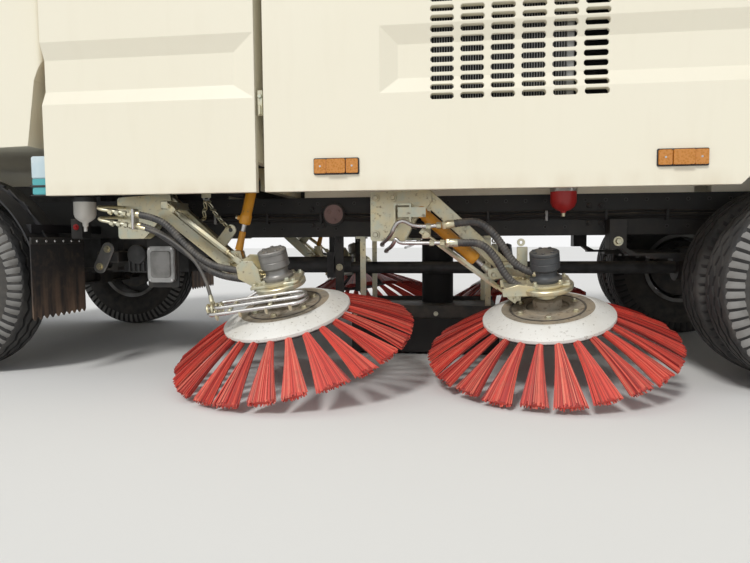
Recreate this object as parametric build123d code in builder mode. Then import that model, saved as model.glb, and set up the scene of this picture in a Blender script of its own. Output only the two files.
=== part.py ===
from build123d import *
import os

# A four-brush street sweeper on a light cab-over truck chassis.
# Millimetres. +X points to the rear, +Y to the truck's right and +Z up. The
# origin is on the ground, midway between the front and rear ends.

# Chassis and wheels
front_end_x = -3500
rear_end_x = 3500
front_axle_x = -2350
wheelbase = 3900
rear_axle_x = front_axle_x + wheelbase
tyre_radius = 430
tyre_width = 235
rim_radius = 215
rim_wall = 12
rim_half_width = 100
hub_radius = 100
front_track_y = 880
dual_mid_y = 840
dual_spread = 135
kingpin_y = 740
kingpin_radius = 14
pin_clearance = 1
rail_outer_y = 400
rail_flange = 65
rail_bottom_z = 645
rail_top_z = 850
rail_sheet = 7
rail_front_x = -3400
rail_rear_x = 3290

# Body
side_y = 1100
panel_thickness = 35
inner_side_y = side_y - panel_thickness
panel_bottom_z = 830
module_roof_z = 2650
front_box_x = (-1700, -747)
engine_box_x = (-710, 1250)
hopper_x = (1290, 3380)
hopper_floor_z = 955
hopper_roof_z = 2780
floor_thickness = 40
engine_floor_z = 900
vent_door_top_z = 2050
vent_hinge_z = 2053
vent_hinge_y = side_y + 8
vent_hinges_x = (-500, 270, 1040)
moving_gap = 6
band_outer_z = (1220, 1485)
band_inner_z = (1280, 1415)
band_depth = 28
front_band_end_x = (-750, -845)
door_band_start_x = (-225, -153)
slot_length = 93
slot_height = 24
slot_corner = 7
slot_pitch_x = 119.6
slot_pitch_z = 38
slot_columns = 6
slot_rows = 12
slot_mid_x = 325
slot_top_z = 1617
arch_half_length = 390
arch_slope = 170
arch_top_z = 1000

# Cab
cab_half_width = 1020
cab_wall = 40
cab_inner_y = cab_half_width - cab_wall
cab_floor_z = 1000
windscreen_z = (1420, 2140)
windscreen_half_width = 930
windscreen_thickness = 6
rear_window_z = (1600, 2100)
rear_window_half_width = 600
door_hinge_x = -3273
door_hinge_y = cab_half_width + 9
door_hinges_z = (960, 1400)
cab_tilt_x = -3430
cab_tilt_z = 690
cab_floor_thickness = 50
tilt_tube_radius = 27
tilt_lug_y = (540, 580)

# Hopper tipping gear
tip_hinge_x = 3250
tip_hinge_z = 900
tip_hinge_pin_radius = 15
tip_ram_base = (3110, 645)
tip_ram_eye = (2965, 910)
ram_pin_radius = 12

# Brushes: plate radius and the tuft's root and tip, each as (radius, height).
disc_radius = 275
disc_thickness = 12
hub_top = 60
tuft_count = 24
tuft_root = (236, -30)
tuft_tip = (530, -180)
tuft_root_size = (30, 32)
tuft_tip_size = (108, 14)

nodes = {}


def heading(start, end):
    """A sketch plane at start whose normal runs to end, with its x level."""
    run = Vector(*end) - Vector(*start)
    ahead = run.normalized()
    level = Vector(0, 1, 0) if abs(ahead.Y) < 0.9 else Vector(1, 0, 0)
    return Plane(origin=start, x_dir=level - ahead * level.dot(ahead), z_dir=run)


def reach(start, end):
    """The distance between two points."""
    return (Vector(*end) - Vector(*start)).length


def along(start, end, share):
    """The point a given share of the way from start to end."""
    return tuple(a + (b - a) * share for a, b in zip(start, end))


def channel(start, end, width, height, wall):
    """A pressed channel from start to end, open downwards."""
    with BuildPart() as pressed:
        with BuildSketch(heading(start, end)):
            Rectangle(width, height)
            with Locations((0, -wall)):
                Rectangle(width - 2 * wall, height, mode=Mode.SUBTRACT)
        extrude(amount=reach(start, end))
    return pressed.part


def wheel_plane(x, y):
    """A plane across a wheel, with local x along the axle and local y up."""
    return Plane(origin=(x, y, tyre_radius), x_dir=(0, 1, 0), z_dir=(1, 0, 0))


def axle_axis(x):
    """The axis a wheel at x turns on."""
    return Axis((x, 0, tyre_radius), (0, 1, 0))


# Ladder frame: two channels that open inwards, with the hopper's hinge lugs
# and the posts that the cab's rear end rests on.
rail_section = (
    (rail_outer_y, rail_bottom_z),
    (rail_outer_y, rail_top_z),
    (rail_outer_y - rail_flange, rail_top_z),
    (rail_outer_y - rail_flange, rail_top_z - rail_sheet),
    (rail_outer_y - rail_sheet, rail_top_z - rail_sheet),
    (rail_outer_y - rail_sheet, rail_bottom_z + rail_sheet),
    (rail_outer_y - rail_flange, rail_bottom_z + rail_sheet),
    (rail_outer_y - rail_flange, rail_bottom_z),
)
hinge_lug_radius = 34
hinge_lug_y = (350, 380)
with BuildPart() as chassis_frame:
    with BuildSketch(Plane.YZ.offset(rail_front_x)):
        with BuildLine():
            Polyline(*rail_section, close=True)
        make_face()
    extrude(amount=rail_rear_x - rail_front_x)
    # Lugs that carry the hopper's rear hinge.
    with BuildSketch(Plane.XZ.offset(-hinge_lug_y[1])):
        with Locations((tip_hinge_x, tip_hinge_z)):
            Circle(hinge_lug_radius)
        with Locations((tip_hinge_x, (tip_hinge_z + rail_top_z) / 2)):
            Rectangle(2 * hinge_lug_radius, tip_hinge_z - rail_top_z)
        with Locations((tip_hinge_x, tip_hinge_z)):
            Circle(tip_hinge_pin_radius + pin_clearance, mode=Mode.SUBTRACT)
    extrude(amount=hinge_lug_y[1] - hinge_lug_y[0])
    with Locations((-1900, 367, (rail_top_z + cab_floor_z + cab_floor_thickness) / 2)):
        Box(60, 60, cab_floor_z + cab_floor_thickness - rail_top_z)
    mirror(about=Plane.XZ)
nodes["chassis_frame"] = chassis_frame

# Cross members between the rails, and the tube across the front that the cab
# tilts on, held by a block at each rail.
cross_members_x = (-3330, -1380, -640, 780, 1820, 3215)
cross_member_size = (60, 130)
member_y = rail_outer_y - rail_sheet
ram_lug_y = (22, 36)
with BuildPart() as cross_members:
    for x in cross_members_x:
        with Locations((x, 0, (rail_bottom_z + rail_top_z) / 2)):
            Box(cross_member_size[0], 2 * member_y, cross_member_size[1])
    # Cheeks and pin for the tipping ram's lower end, on the last member.
    for y in (-ram_lug_y[1], ram_lug_y[0]):
        with BuildSketch(Plane.XZ.offset(-y)):
            with BuildLine():
                Polyline(
                    (tip_ram_base[0] - 24, tip_ram_base[1] - 23),
                    (tip_ram_base[0] + 20, tip_ram_base[1] - 23),
                    (cross_members_x[-1] - 15, tip_ram_base[1] + 20),
                    (cross_members_x[-1] - 15, tip_ram_base[1] + 60),
                    (tip_ram_base[0] + 75, tip_ram_base[1] + 50),
                    (tip_ram_base[0] + 45, tip_ram_base[1] + 20),
                    (tip_ram_base[0] - 24, tip_ram_base[1] + 15),
                    close=True,
                )
            make_face()
        extrude(amount=-(ram_lug_y[1] - ram_lug_y[0]))
    with Locations(Location((tip_ram_base[0], 0, tip_ram_base[1]), (90, 0, 0))):
        Cylinder(ram_pin_radius, 2 * ram_lug_y[1])
    with Locations(Location((cab_tilt_x, 0, cab_tilt_z), (90, 0, 0))):
        Cylinder(tilt_tube_radius, 2 * tilt_lug_y[1] + 20)
    for side in (-1, 1):
        with Locations(((cab_tilt_x + rail_front_x) / 2, side * 375, cab_tilt_z)):
            Box(rail_front_x - cab_tilt_x, 40, 60)
nodes["cross_members"] = cross_members

# Front axle beam, with an eye for the kingpin at each end.
beam_half_x = 42
beam_z = (345, 440)
eye_z = (385, 475)
eye_radius = 36
front_spring_y = 367
beam_flange = 16
beam_web = 14
beam_pockets_y = ((-290, 290), (450, 610))
with BuildPart() as front_axle:
    beam_half_y = kingpin_y - 60
    with Locations((front_axle_x, 0, sum(beam_z) / 2)):
        Box(2 * beam_half_x, 2 * beam_half_y, beam_z[1] - beam_z[0])
    for side in (-1, 1):
        with Locations((front_axle_x, side * kingpin_y, sum(eye_z) / 2)):
            Cylinder(eye_radius, eye_z[1] - eye_z[0])
        with Locations((front_axle_x, side * (kingpin_y - 45), (eye_z[0] + beam_z[1]) / 2)):
            Box(2 * beam_half_x - 20, 60, beam_z[1] - eye_z[0])
    for side in (-1, 1):
        with Locations((front_axle_x, side * kingpin_y, sum(eye_z) / 2)):
            Cylinder(kingpin_radius + pin_clearance, eye_z[1] - eye_z[0] + 20, mode=Mode.SUBTRACT)
    # Pockets that leave an I section between the spring seats and outside them.
    pocket_depth = beam_half_x - beam_web / 2
    pocket_height = beam_z[1] - beam_z[0] - 2 * beam_flange
    for inner, outer in beam_pockets_y:
        for face in (-1, 1):
            pocket_x = front_axle_x + face * (beam_half_x - pocket_depth / 2)
            for side in (-1, 1):
                with Locations((pocket_x, side * (inner + outer) / 2, sum(beam_z) / 2)):
                    Box(pocket_depth, outer - inner, pocket_height, mode=Mode.SUBTRACT)
nodes["front_axle"] = front_axle

# Driven rear axle: tube, differential and brake drums.
rear_tube_radius = 58
rear_hub_y = 760
diff_radius = 165
drum_radius = 180
rear_spring_y = 450
rear_shaft_z = 462
with BuildPart() as rear_axle:
    with BuildSketch(wheel_plane(rear_axle_x, 0)):
        with BuildLine():
            Polyline(
                (0, 0),
                (0, diff_radius),
                (70, diff_radius),
                (150, diff_radius - 50),
                (230, rear_tube_radius),
                (635, rear_tube_radius),
                (635, drum_radius),
                (745, drum_radius),
                (745, rear_tube_radius),
                (rear_hub_y, rear_tube_radius),
                (rear_hub_y, 0),
                close=True,
            )
        make_face()
    revolve(axis=axle_axis(rear_axle_x))
    with Locations((rear_axle_x, rear_spring_y, tyre_radius + rear_tube_radius / 2)):
        Box(130, 90, rear_tube_radius)
    mirror(about=Plane.XZ)
    with Locations(Location((rear_axle_x - 190, 0, rear_shaft_z), (0, 90, 0))):
        Cylinder(75, 120)
nodes["rear_axle"] = rear_axle

# Leaf packs under the rails in front and beside them at the rear.
spring_rows = (
    # axle x, side y, seat z, half length, leaves, hanger's inner y, outer y and top z
    (front_axle_x, front_spring_y, beam_z[1], 620, 3, 324, 410, rail_bottom_z),
    (rear_axle_x, rear_spring_y, tyre_radius + rear_tube_radius, 680, 5, rail_outer_y, 493, 720),
)
leaf_thickness = 13
leaf_width = 70
hanger_length = 80
lowest_eye_z = 590
with BuildPart() as leaf_springs:
    for axle_x, y, seat_z, half_length, leaves, inner_y, outer_y, hanger_top in spring_rows:
        top_z = seat_z + leaves * leaf_thickness
        end_z = max(top_z + 25, lowest_eye_z)
        with BuildSketch(Plane.XZ.offset(-y - leaf_width / 2)):
            for leaf in range(leaves):
                with Locations((axle_x, seat_z + (leaf + 0.5) * leaf_thickness)):
                    Rectangle(220 + (2 * half_length - 320) * (leaf + 1) / leaves, leaf_thickness)
            for end in (-1, 1):
                root_x = axle_x + end * (half_length - 90)
                tip_x = axle_x + end * half_length
                with BuildLine():
                    Polyline(
                        (root_x, top_z - leaf_thickness),
                        (root_x + end * 30, top_z - leaf_thickness),
                        (tip_x, end_z),
                        (tip_x, end_z + leaf_thickness),
                        (root_x, top_z),
                        close=True,
                    )
                make_face()
        extrude(amount=leaf_width)
        for end in (-1, 1):
            hanger_mid_z = (end_z - 15 + hanger_top) / 2
            with Locations((axle_x + end * half_length, (inner_y + outer_y) / 2, hanger_mid_z)):
                Box(hanger_length, outer_y - inner_y, hanger_top - end_z + 15)
    mirror(about=Plane.XZ)
nodes["leaf_springs"] = leaf_springs

# Engine and gearbox as plain blocks, with the propeller shaft behind them.
engine_x = (-2640, -1950)
gearbox_x = (-1950, -1470)
shaft_z = 480
member_bottom_z = (rail_bottom_z + rail_top_z - cross_member_size[1]) / 2
shaft_split_x = -520
with BuildPart() as drive_line:
    with Locations((sum(engine_x) / 2, 0, 715)):
        Box(engine_x[1] - engine_x[0], 560, 470)
    with Locations((sum(gearbox_x) / 2, 0, 610)):
        Box(gearbox_x[1] - gearbox_x[0], 340, 330)
    for x in (engine_x[0] + 160, engine_x[1] - 160):
        with Locations((x, 0, 730)):
            Box(70, 2 * member_y, 60)
    front_shaft = ((gearbox_x[1], 0, shaft_z), (shaft_split_x, 0, shaft_z))
    rear_shaft = ((shaft_split_x, 0, rear_shaft_z), (rear_axle_x - 250, 0, rear_shaft_z))
    for ends, radius in ((front_shaft, 48), (rear_shaft, 35)):
        with BuildSketch(heading(*ends)):
            Circle(radius)
        extrude(amount=reach(*ends))
    # Centre bearing under its cross member.
    with Locations((shaft_split_x - 120, 0, shaft_z)):
        Box(40, 150, 150)
    with Locations((shaft_split_x - 120, 0, (shaft_z + member_bottom_z) / 2)):
        Box(30, 60, member_bottom_z - shaft_z)
nodes["drive_line"] = drive_line

# Bumper with side steps, ahead of the cab's lower edge.
bumper_z = (390, 635)
lamp_depth = 8
bumper_face_x = front_end_x + lamp_depth
tow_pin_radius = 20
with BuildPart() as front_bumper:
    with BuildSketch(Plane.XY.offset(bumper_z[0])):
        with BuildLine():
            Polyline(
                (bumper_face_x, -820),
                (front_end_x + 120, -cab_half_width),
                (front_end_x + 560, -cab_half_width),
                (front_end_x + 560, -cab_half_width + 240),
                (front_end_x + 500, -cab_half_width + 240),
                (front_end_x + 500, -cab_half_width + 60),
                (front_end_x + 140, -cab_half_width + 60),
                (front_end_x + 90, -760),
                (front_end_x + 90, 0),
                (bumper_face_x, 0),
                close=True,
            )
        make_face()
    extrude(amount=bumper_z[1] - bumper_z[0])
    mirror(about=Plane.XZ)
    # Stays back to the rails, and the tow socket between them.
    for side in (-1, 1):
        with Locations((front_end_x + 125, side * 366, 597)):
            Box(90, 60, 76)
        with Locations((front_end_x + 145, side * 366, rail_bottom_z - 20)):
            Box(110, 60, 40)
    with Locations((bumper_face_x + 60, 0, 512)):
        Box(120, 140, 120)
    with Locations((front_end_x + 40, 0, 512)):
        Cylinder(tow_pin_radius, 160, mode=Mode.SUBTRACT)
    with Locations((front_end_x + 40, 0, 512)):
        Box(90, 90, 50, mode=Mode.SUBTRACT)
    with Locations((front_end_x + 40, 0, 603.5), (front_end_x + 40, 0, 420.5)):
        Box(90, 90, 64, mode=Mode.SUBTRACT)
nodes["front_bumper"] = front_bumper

# Rear under-run bar with its brackets and the tow coupling's socket.
rear_bar_z = (440, 600)
with BuildPart() as rear_bumper:
    with Locations((rear_end_x - lamp_depth - 46, 0, sum(rear_bar_z) / 2)):
        Box(92, 2000, rear_bar_z[1] - rear_bar_z[0])
    for side in (-1, 1):
        with Locations((rear_end_x - 190, side * 367, 520)):
            Box(200, 50, 120)
        with Locations((rear_end_x - 250, side * 367, 612.5)):
            Box(80, 50, 65)
    with Locations((rear_end_x - lamp_depth - 60, 0, 520)):
        Box(120, 240, 200)
    with Locations((rear_end_x - 45, 0, 520)):
        Cylinder(tow_pin_radius, 240, mode=Mode.SUBTRACT)
        Box(92, 200, 70, mode=Mode.SUBTRACT)
nodes["rear_bumper"] = rear_bumper

# Headlamps in the bumper's corners and tail lamps on the rear bar.
with BuildPart() as lamps:
    for side in (-1, 1):
        with Locations((front_end_x + lamp_depth / 2, side * 640, 520)):
            Box(lamp_depth, 280, 130)
        with Locations((rear_end_x - lamp_depth / 2, side * 860, 520)):
            Box(lamp_depth, 240, 100)
nodes["lamps"] = lamps

# Front mudguards with their rubber flaps.
guard_radius = 522
guard_sheet = 8
guard_y = (770, 1010)
flap_x = front_axle_x + guard_radius + guard_sheet
with BuildPart() as mudguards:
    with BuildSketch(Plane.XZ.offset(-guard_y[1])):
        with Locations((front_axle_x, tyre_radius)):
            Circle(guard_radius + guard_sheet)
            Circle(guard_radius, mode=Mode.SUBTRACT)
        with Locations((front_axle_x - 300, tyre_radius)):
            Rectangle(760, 1200, mode=Mode.SUBTRACT)
        with Locations((front_axle_x + 300, tyre_radius - 400)):
            Rectangle(600, 780, mode=Mode.SUBTRACT)
    extrude(amount=guard_y[1] - guard_y[0])
    with Locations((flap_x - guard_sheet / 2, (guard_y[0] + guard_y[1]) / 2, 480)):
        Box(guard_sheet, guard_y[1] - guard_y[0], 340)
    with Locations((front_axle_x + 462, (rail_outer_y + guard_y[1] - 40) / 2, 690)):
        Box(30, guard_y[1] - 40 - rail_outer_y, 40)
    mirror(about=Plane.XZ)
nodes["mudguards"] = mudguards

# Fuel tank and battery box behind the rear wheels.
with BuildPart() as fuel_tank:
    with BuildSketch(Plane.YZ.offset(2200)):
        with Locations((760, 620)):
            RectangleRounded(440, 400, 80)
    extrude(amount=780)
    for x in (2350, 2830):
        with Locations((x, (rail_outer_y + 560) / 2, 745)):
            Box(50, 560 - rail_outer_y, 90)
nodes["fuel_tank"] = fuel_tank
with BuildPart() as battery_box:
    with Locations((2520, -740, 640)):
        Box(560, 420, 320)
    for x in (2350, 2690):
        with Locations((x, -(rail_outer_y + 560) / 2, 745)):
            Box(50, 560 - rail_outer_y, 90)
nodes["battery_box"] = battery_box

# Suction nozzle between the brushes, and the duct up to the body's floor.
nozzle_x = (-480, 320)
nozzle_half_y = 280
nozzle_z = (12, 245)
nozzle_wall = 12
duct_y = 170
duct_x = -20
duct_radius = 95
duct_wall = 10
with BuildPart() as suction_nozzle:
    with Locations((sum(nozzle_x) / 2, 0, sum(nozzle_z) / 2)):
        Box(nozzle_x[1] - nozzle_x[0], 2 * nozzle_half_y, nozzle_z[1] - nozzle_z[0])
    with Locations((sum(nozzle_x) / 2, 0, nozzle_z[0])):
        Box(
            nozzle_x[1] - nozzle_x[0] - 2 * nozzle_wall,
            2 * (nozzle_half_y - nozzle_wall),
            2 * (nozzle_z[1] - nozzle_z[0] - nozzle_wall),
            mode=Mode.SUBTRACT,
        )
    with Locations((duct_x, duct_y, nozzle_z[1])):
        Cylinder(duct_radius - duct_wall, 60, mode=Mode.SUBTRACT)
nodes["suction_nozzle"] = suction_nozzle
with BuildPart() as suction_duct:
    with Locations((duct_x, duct_y, (nozzle_z[1] + engine_floor_z) / 2)):
        Cylinder(duct_radius, engine_floor_z - nozzle_z[1])
        Cylinder(duct_radius - duct_wall, engine_floor_z - nozzle_z[1] + 20, mode=Mode.SUBTRACT)
nodes["suction_duct"] = suction_duct


def band_cutter(start, end):
    """What the pressed band takes out of the left side, between two (outer, inner) x pairs."""
    with BuildPart() as cutter:
        with BuildSketch(Plane.XZ.offset(side_y)):
            with BuildLine():
                Polyline(
                    (start[0], band_outer_z[0]),
                    (end[0], band_outer_z[0]),
                    (end[0], band_outer_z[1]),
                    (start[0], band_outer_z[1]),
                    close=True,
                )
            make_face()
        with BuildSketch(Plane.XZ.offset(side_y - band_depth)):
            with BuildLine():
                Polyline(
                    (start[1], band_inner_z[0]),
                    (end[1], band_inner_z[0]),
                    (end[1], band_inner_z[1]),
                    (start[1], band_inner_z[1]),
                    close=True,
                )
            make_face()
        loft(ruled=True)
    return cutter.part


# Front housing behind the cab: side panels, end walls and roof round the tank.
box_length = front_box_x[1] - front_box_x[0]
tank_z = (1000, 2500)
tank_floor_z = 960
with BuildPart() as front_housing:
    with BuildSketch(Plane.YZ.offset(front_box_x[0])):
        with BuildLine():
            Polyline(
                (-side_y, panel_bottom_z),
                (-side_y, module_roof_z - 90),
                (-side_y + 90, module_roof_z),
                (0, module_roof_z),
                (0, module_roof_z - panel_thickness),
                (-side_y + 105, module_roof_z - panel_thickness),
                (-inner_side_y, module_roof_z - 105),
                (-inner_side_y, panel_bottom_z),
                close=True,
            )
        make_face()
    extrude(amount=box_length)
    add(band_cutter((front_box_x[0] - 60, front_box_x[0] - 60), front_band_end_x), mode=Mode.SUBTRACT)
    for x in (front_box_x[0] + panel_thickness / 2, front_box_x[1] - panel_thickness / 2):
        with Locations((x, -inner_side_y / 2 - 2, (tank_floor_z + module_roof_z - 110) / 2)):
            Box(panel_thickness, inner_side_y + 4, module_roof_z - 110 - tank_floor_z)
        with Locations((x, -inner_side_y / 2 + 45, module_roof_z - 75)):
            Box(panel_thickness, inner_side_y - 90, 80)
    mirror(about=Plane.XZ)
nodes["front_housing"] = front_housing

# Water tank inside the front housing, on two bearers across the rails.
with BuildPart() as water_tank:
    with Locations((sum(front_box_x) / 2, 0, sum(tank_z) / 2)):
        Box(box_length - 2 * panel_thickness, 2 * inner_side_y, tank_z[1] - tank_z[0])
    for x in (-1560, -1000):
        with Locations((x, 0, (rail_top_z + tank_z[0]) / 2)):
            Box(80, 1300, tank_z[0] - rail_top_z)
nodes["water_tank"] = water_tank

# Engine housing: floor, bulkheads, roof and the fixed upper sides.
housing_length = engine_box_x[1] - engine_box_x[0]
fixed_side_z = vent_door_top_z + moving_gap
bulkhead_y = inner_side_y - moving_gap
with BuildPart() as engine_housing:
    with BuildSketch(Plane.YZ.offset(engine_box_x[0])):
        with BuildLine():
            Polyline(
                (-side_y, fixed_side_z),
                (-side_y, module_roof_z - 90),
                (-side_y + 90, module_roof_z),
                (0, module_roof_z),
                (0, module_roof_z - panel_thickness),
                (-side_y + 105, module_roof_z - panel_thickness),
                (-inner_side_y, module_roof_z - 105),
                (-inner_side_y, fixed_side_z),
                close=True,
            )
        make_face()
    extrude(amount=housing_length)
    for x in (engine_box_x[0] + panel_thickness / 2, engine_box_x[1] - panel_thickness / 2):
        with BuildSketch(Plane.YZ.offset(x - panel_thickness / 2)):
            with BuildLine():
                Polyline(
                    (-bulkhead_y, engine_floor_z),
                    (-bulkhead_y, fixed_side_z),
                    (-inner_side_y - 5, fixed_side_z),
                    (-inner_side_y - 5, module_roof_z - 110),
                    (-side_y + 100, module_roof_z - 20),
                    (0, module_roof_z - 20),
                    (0, engine_floor_z),
                    close=True,
                )
            make_face()
        extrude(amount=panel_thickness)
    with Locations((sum(engine_box_x) / 2, -bulkhead_y / 2, engine_floor_z + floor_thickness / 2)):
        Box(housing_length, bulkhead_y, floor_thickness)
    with Locations((sum(engine_box_x) / 2, -367, (rail_top_z + engine_floor_z) / 2)):
        Box(housing_length, 60, engine_floor_z - rail_top_z)
    mirror(about=Plane.XZ)
    with Locations((duct_x, duct_y, engine_floor_z)):
        Cylinder(duct_radius - duct_wall, 3 * floor_thickness, mode=Mode.SUBTRACT)
    # Knuckles and pins of the side doors' hinges, on the fixed sides.
    for x in vent_hinges_x:
        for side in (-1, 1):
            with Locations((x, side * (side_y + 2), vent_hinge_z + 40)):
                Box(100, 4, 56)
            for end in (-1, 1):
                with Locations(Location((x + end * 36, side * vent_hinge_y, vent_hinge_z), (0, 90, 0))):
                    Cylinder(7, 28)
                with Locations((x + end * 36, side * (side_y + 3), vent_hinge_z + 8)):
                    Box(28, 6, 14)
            with Locations(Location((x, side * vent_hinge_y, vent_hinge_z), (0, 90, 0))):
                Cylinder(4, 90)
nodes["engine_housing"] = engine_housing

# Sweeping engine and fan, as plain blocks behind the slots.
with BuildPart() as sweeper_engine:
    with Locations((330, -350, engine_floor_z + floor_thickness + 450)):
        Box(950, 700, 900)
    with Locations((330, 420, engine_floor_z + floor_thickness + 350)):
        Box(800, 600, 700)
nodes["sweeper_engine"] = sweeper_engine

# Slotted side doors of the engine housing, hinged along their top edge.
slot_x = slot_length / 2
slot_z = slot_height / 2
slot_outline = (
    (slot_x - slot_corner, -slot_z),
    (slot_x, slot_corner - slot_z),
    (slot_x, slot_z - slot_corner),
    (slot_x - slot_corner, slot_z),
    (slot_corner - slot_x, slot_z),
    (-slot_x, slot_z - slot_corner),
    (-slot_x, slot_corner - slot_z),
    (slot_corner - slot_x, -slot_z),
)
with BuildPart() as vent_door_left:
    with BuildSketch(Plane.XZ.offset(inner_side_y)):
        with BuildLine():
            Polyline(
                (engine_box_x[0], panel_bottom_z),
                (rear_axle_x - arch_half_length, panel_bottom_z),
                (engine_box_x[1], panel_bottom_z + engine_box_x[1] - rear_axle_x + arch_half_length),
                (engine_box_x[1], vent_door_top_z),
                (engine_box_x[0], vent_door_top_z),
                close=True,
            )
        make_face()
    extrude(amount=panel_thickness)
    add(band_cutter(door_band_start_x, (engine_box_x[1] + 60, engine_box_x[1] + 60)), mode=Mode.SUBTRACT)
    with BuildSketch(Plane.XZ.offset(side_y)):
        with Locations((slot_mid_x, slot_top_z - slot_pitch_z * (slot_rows - 1) / 2)):
            with GridLocations(slot_pitch_x, slot_pitch_z, slot_columns, slot_rows):
                Polygon(*slot_outline)
    extrude(amount=-panel_thickness, mode=Mode.SUBTRACT)
    for x in vent_hinges_x:
        with Locations((x, -side_y - 2, vent_hinge_z - 40)):
            Box(100, 4, 56)
        with Locations(Location((x, -vent_hinge_y, vent_hinge_z), (0, 90, 0))):
            Cylinder(7, 40)
        with Locations((x, -side_y - 3, vent_hinge_z - 9)):
            Box(40, 6, 14)
        with Locations(Location((x, -vent_hinge_y, vent_hinge_z), (0, 90, 0))):
            Cylinder(4.5, 44, mode=Mode.SUBTRACT)
with BuildPart() as vent_door_right:
    mirror(vent_door_left.part, about=Plane.XZ)
nodes["vent_door_left"] = vent_door_left
nodes["vent_door_right"] = vent_door_right

# Hopper: hollow, open at the rear, with skirts cut for the wheel arches.
hopper_length = hopper_x[1] - hopper_x[0]
tail_hinge_x = hopper_x[1] + 15
tail_hinge_z = hopper_roof_z + 14
tail_hinges_y = (-700, 700)
tail_eye_half = 15
tail_eye_radius = 15
tail_pin_radius = 8
with BuildPart() as hopper:
    with BuildSketch(Plane.YZ.offset(hopper_x[0])):
        with BuildLine():
            Polyline(
                (-side_y, panel_bottom_z),
                (-side_y, hopper_roof_z - 110),
                (-side_y + 110, hopper_roof_z),
                (0, hopper_roof_z),
                (0, hopper_roof_z - panel_thickness),
                (-side_y + 125, hopper_roof_z - panel_thickness),
                (-inner_side_y, hopper_roof_z - 125),
                (-inner_side_y, hopper_floor_z + floor_thickness),
                (0, hopper_floor_z + floor_thickness),
                (0, hopper_floor_z),
                (-inner_side_y, hopper_floor_z),
                (-inner_side_y, panel_bottom_z),
                close=True,
            )
        make_face()
    extrude(amount=hopper_length)
    with BuildSketch(Plane.YZ.offset(hopper_x[0])):
        with BuildLine():
            Polyline(
                (-inner_side_y - 5, hopper_floor_z),
                (-inner_side_y - 5, hopper_roof_z - 130),
                (-side_y + 120, hopper_roof_z - 20),
                (0, hopper_roof_z - 20),
                (0, hopper_floor_z),
                close=True,
            )
        make_face()
    extrude(amount=panel_thickness)
    with BuildSketch(Plane.XZ.offset(inner_side_y - 20)):
        with BuildLine():
            Polyline(
                (rear_axle_x - arch_half_length, panel_bottom_z),
                (rear_axle_x - arch_half_length + arch_slope, arch_top_z),
                (rear_axle_x + arch_half_length - arch_slope, arch_top_z),
                (rear_axle_x + arch_half_length, panel_bottom_z),
                (rear_axle_x + arch_half_length, panel_bottom_z - 20),
                (rear_axle_x - arch_half_length, panel_bottom_z - 20),
                close=True,
            )
        make_face()
    extrude(amount=3 * panel_thickness, mode=Mode.SUBTRACT)
    band_start_x = (hopper_x[0] - 60, hopper_x[0] - 60)
    band_end_x = (hopper_x[1] + 60, hopper_x[1] + 60)
    add(band_cutter(band_start_x, band_end_x), mode=Mode.SUBTRACT)
    # Runners that rest on the rails, and the hinge cheeks behind them.
    with Locations((2255, -367, (rail_top_z + hopper_floor_z) / 2)):
        Box(1850, 60, hopper_floor_z - rail_top_z)
    for y in (-hinge_lug_y[0] + moving_gap + 16, -hinge_lug_y[1] - moving_gap):
        with BuildSketch(Plane.XZ.offset(-y)):
            with Locations((tip_hinge_x, tip_hinge_z)):
                Circle(30)
            with Locations((tip_hinge_x, (tip_hinge_z + hopper_floor_z) / 2)):
                Rectangle(60, hopper_floor_z - tip_hinge_z)
        extrude(amount=16)
    with Locations(Location((tip_hinge_x, -(hinge_lug_y[0] + hinge_lug_y[1]) / 2, tip_hinge_z), (90, 0, 0))):
        Cylinder(tip_hinge_pin_radius, 60)
    mirror(about=Plane.XZ)
    # Cheeks for the tipping ram's upper end.
    ram_cheek_z = (tip_ram_eye[1] - 14, hopper_floor_z + 10)
    for y in (-ram_lug_y[1], ram_lug_y[0]):
        with Locations((tip_ram_eye[0], y + (ram_lug_y[1] - ram_lug_y[0]) / 2, sum(ram_cheek_z) / 2)):
            Box(70, ram_lug_y[1] - ram_lug_y[0], ram_cheek_z[1] - ram_cheek_z[0])
    # Cheeks and pins of the tailgate's hinges.
    for y in tail_hinges_y:
        for side in (-1, 1):
            with BuildSketch(Plane.XZ.offset(-y - side * (tail_eye_half + 10) - 5)):
                with BuildLine():
                    Polyline(
                        (hopper_x[1] - 60, hopper_roof_z - 10),
                        (hopper_x[1] - 2, hopper_roof_z - 10),
                        (hopper_x[1] - 2, hopper_roof_z + moving_gap),
                        (tail_hinge_x + 9, hopper_roof_z + moving_gap),
                        (tail_hinge_x + 9, tail_hinge_z + 12),
                        (hopper_x[1] - 60, tail_hinge_z + 12),
                        close=True,
                    )
                make_face()
            extrude(amount=10)
        with Locations(Location((tail_hinge_x, y, tail_hinge_z), (90, 0, 0))):
            Cylinder(tail_pin_radius, 2 * tail_eye_half + 30)
nodes["hopper"] = hopper

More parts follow.
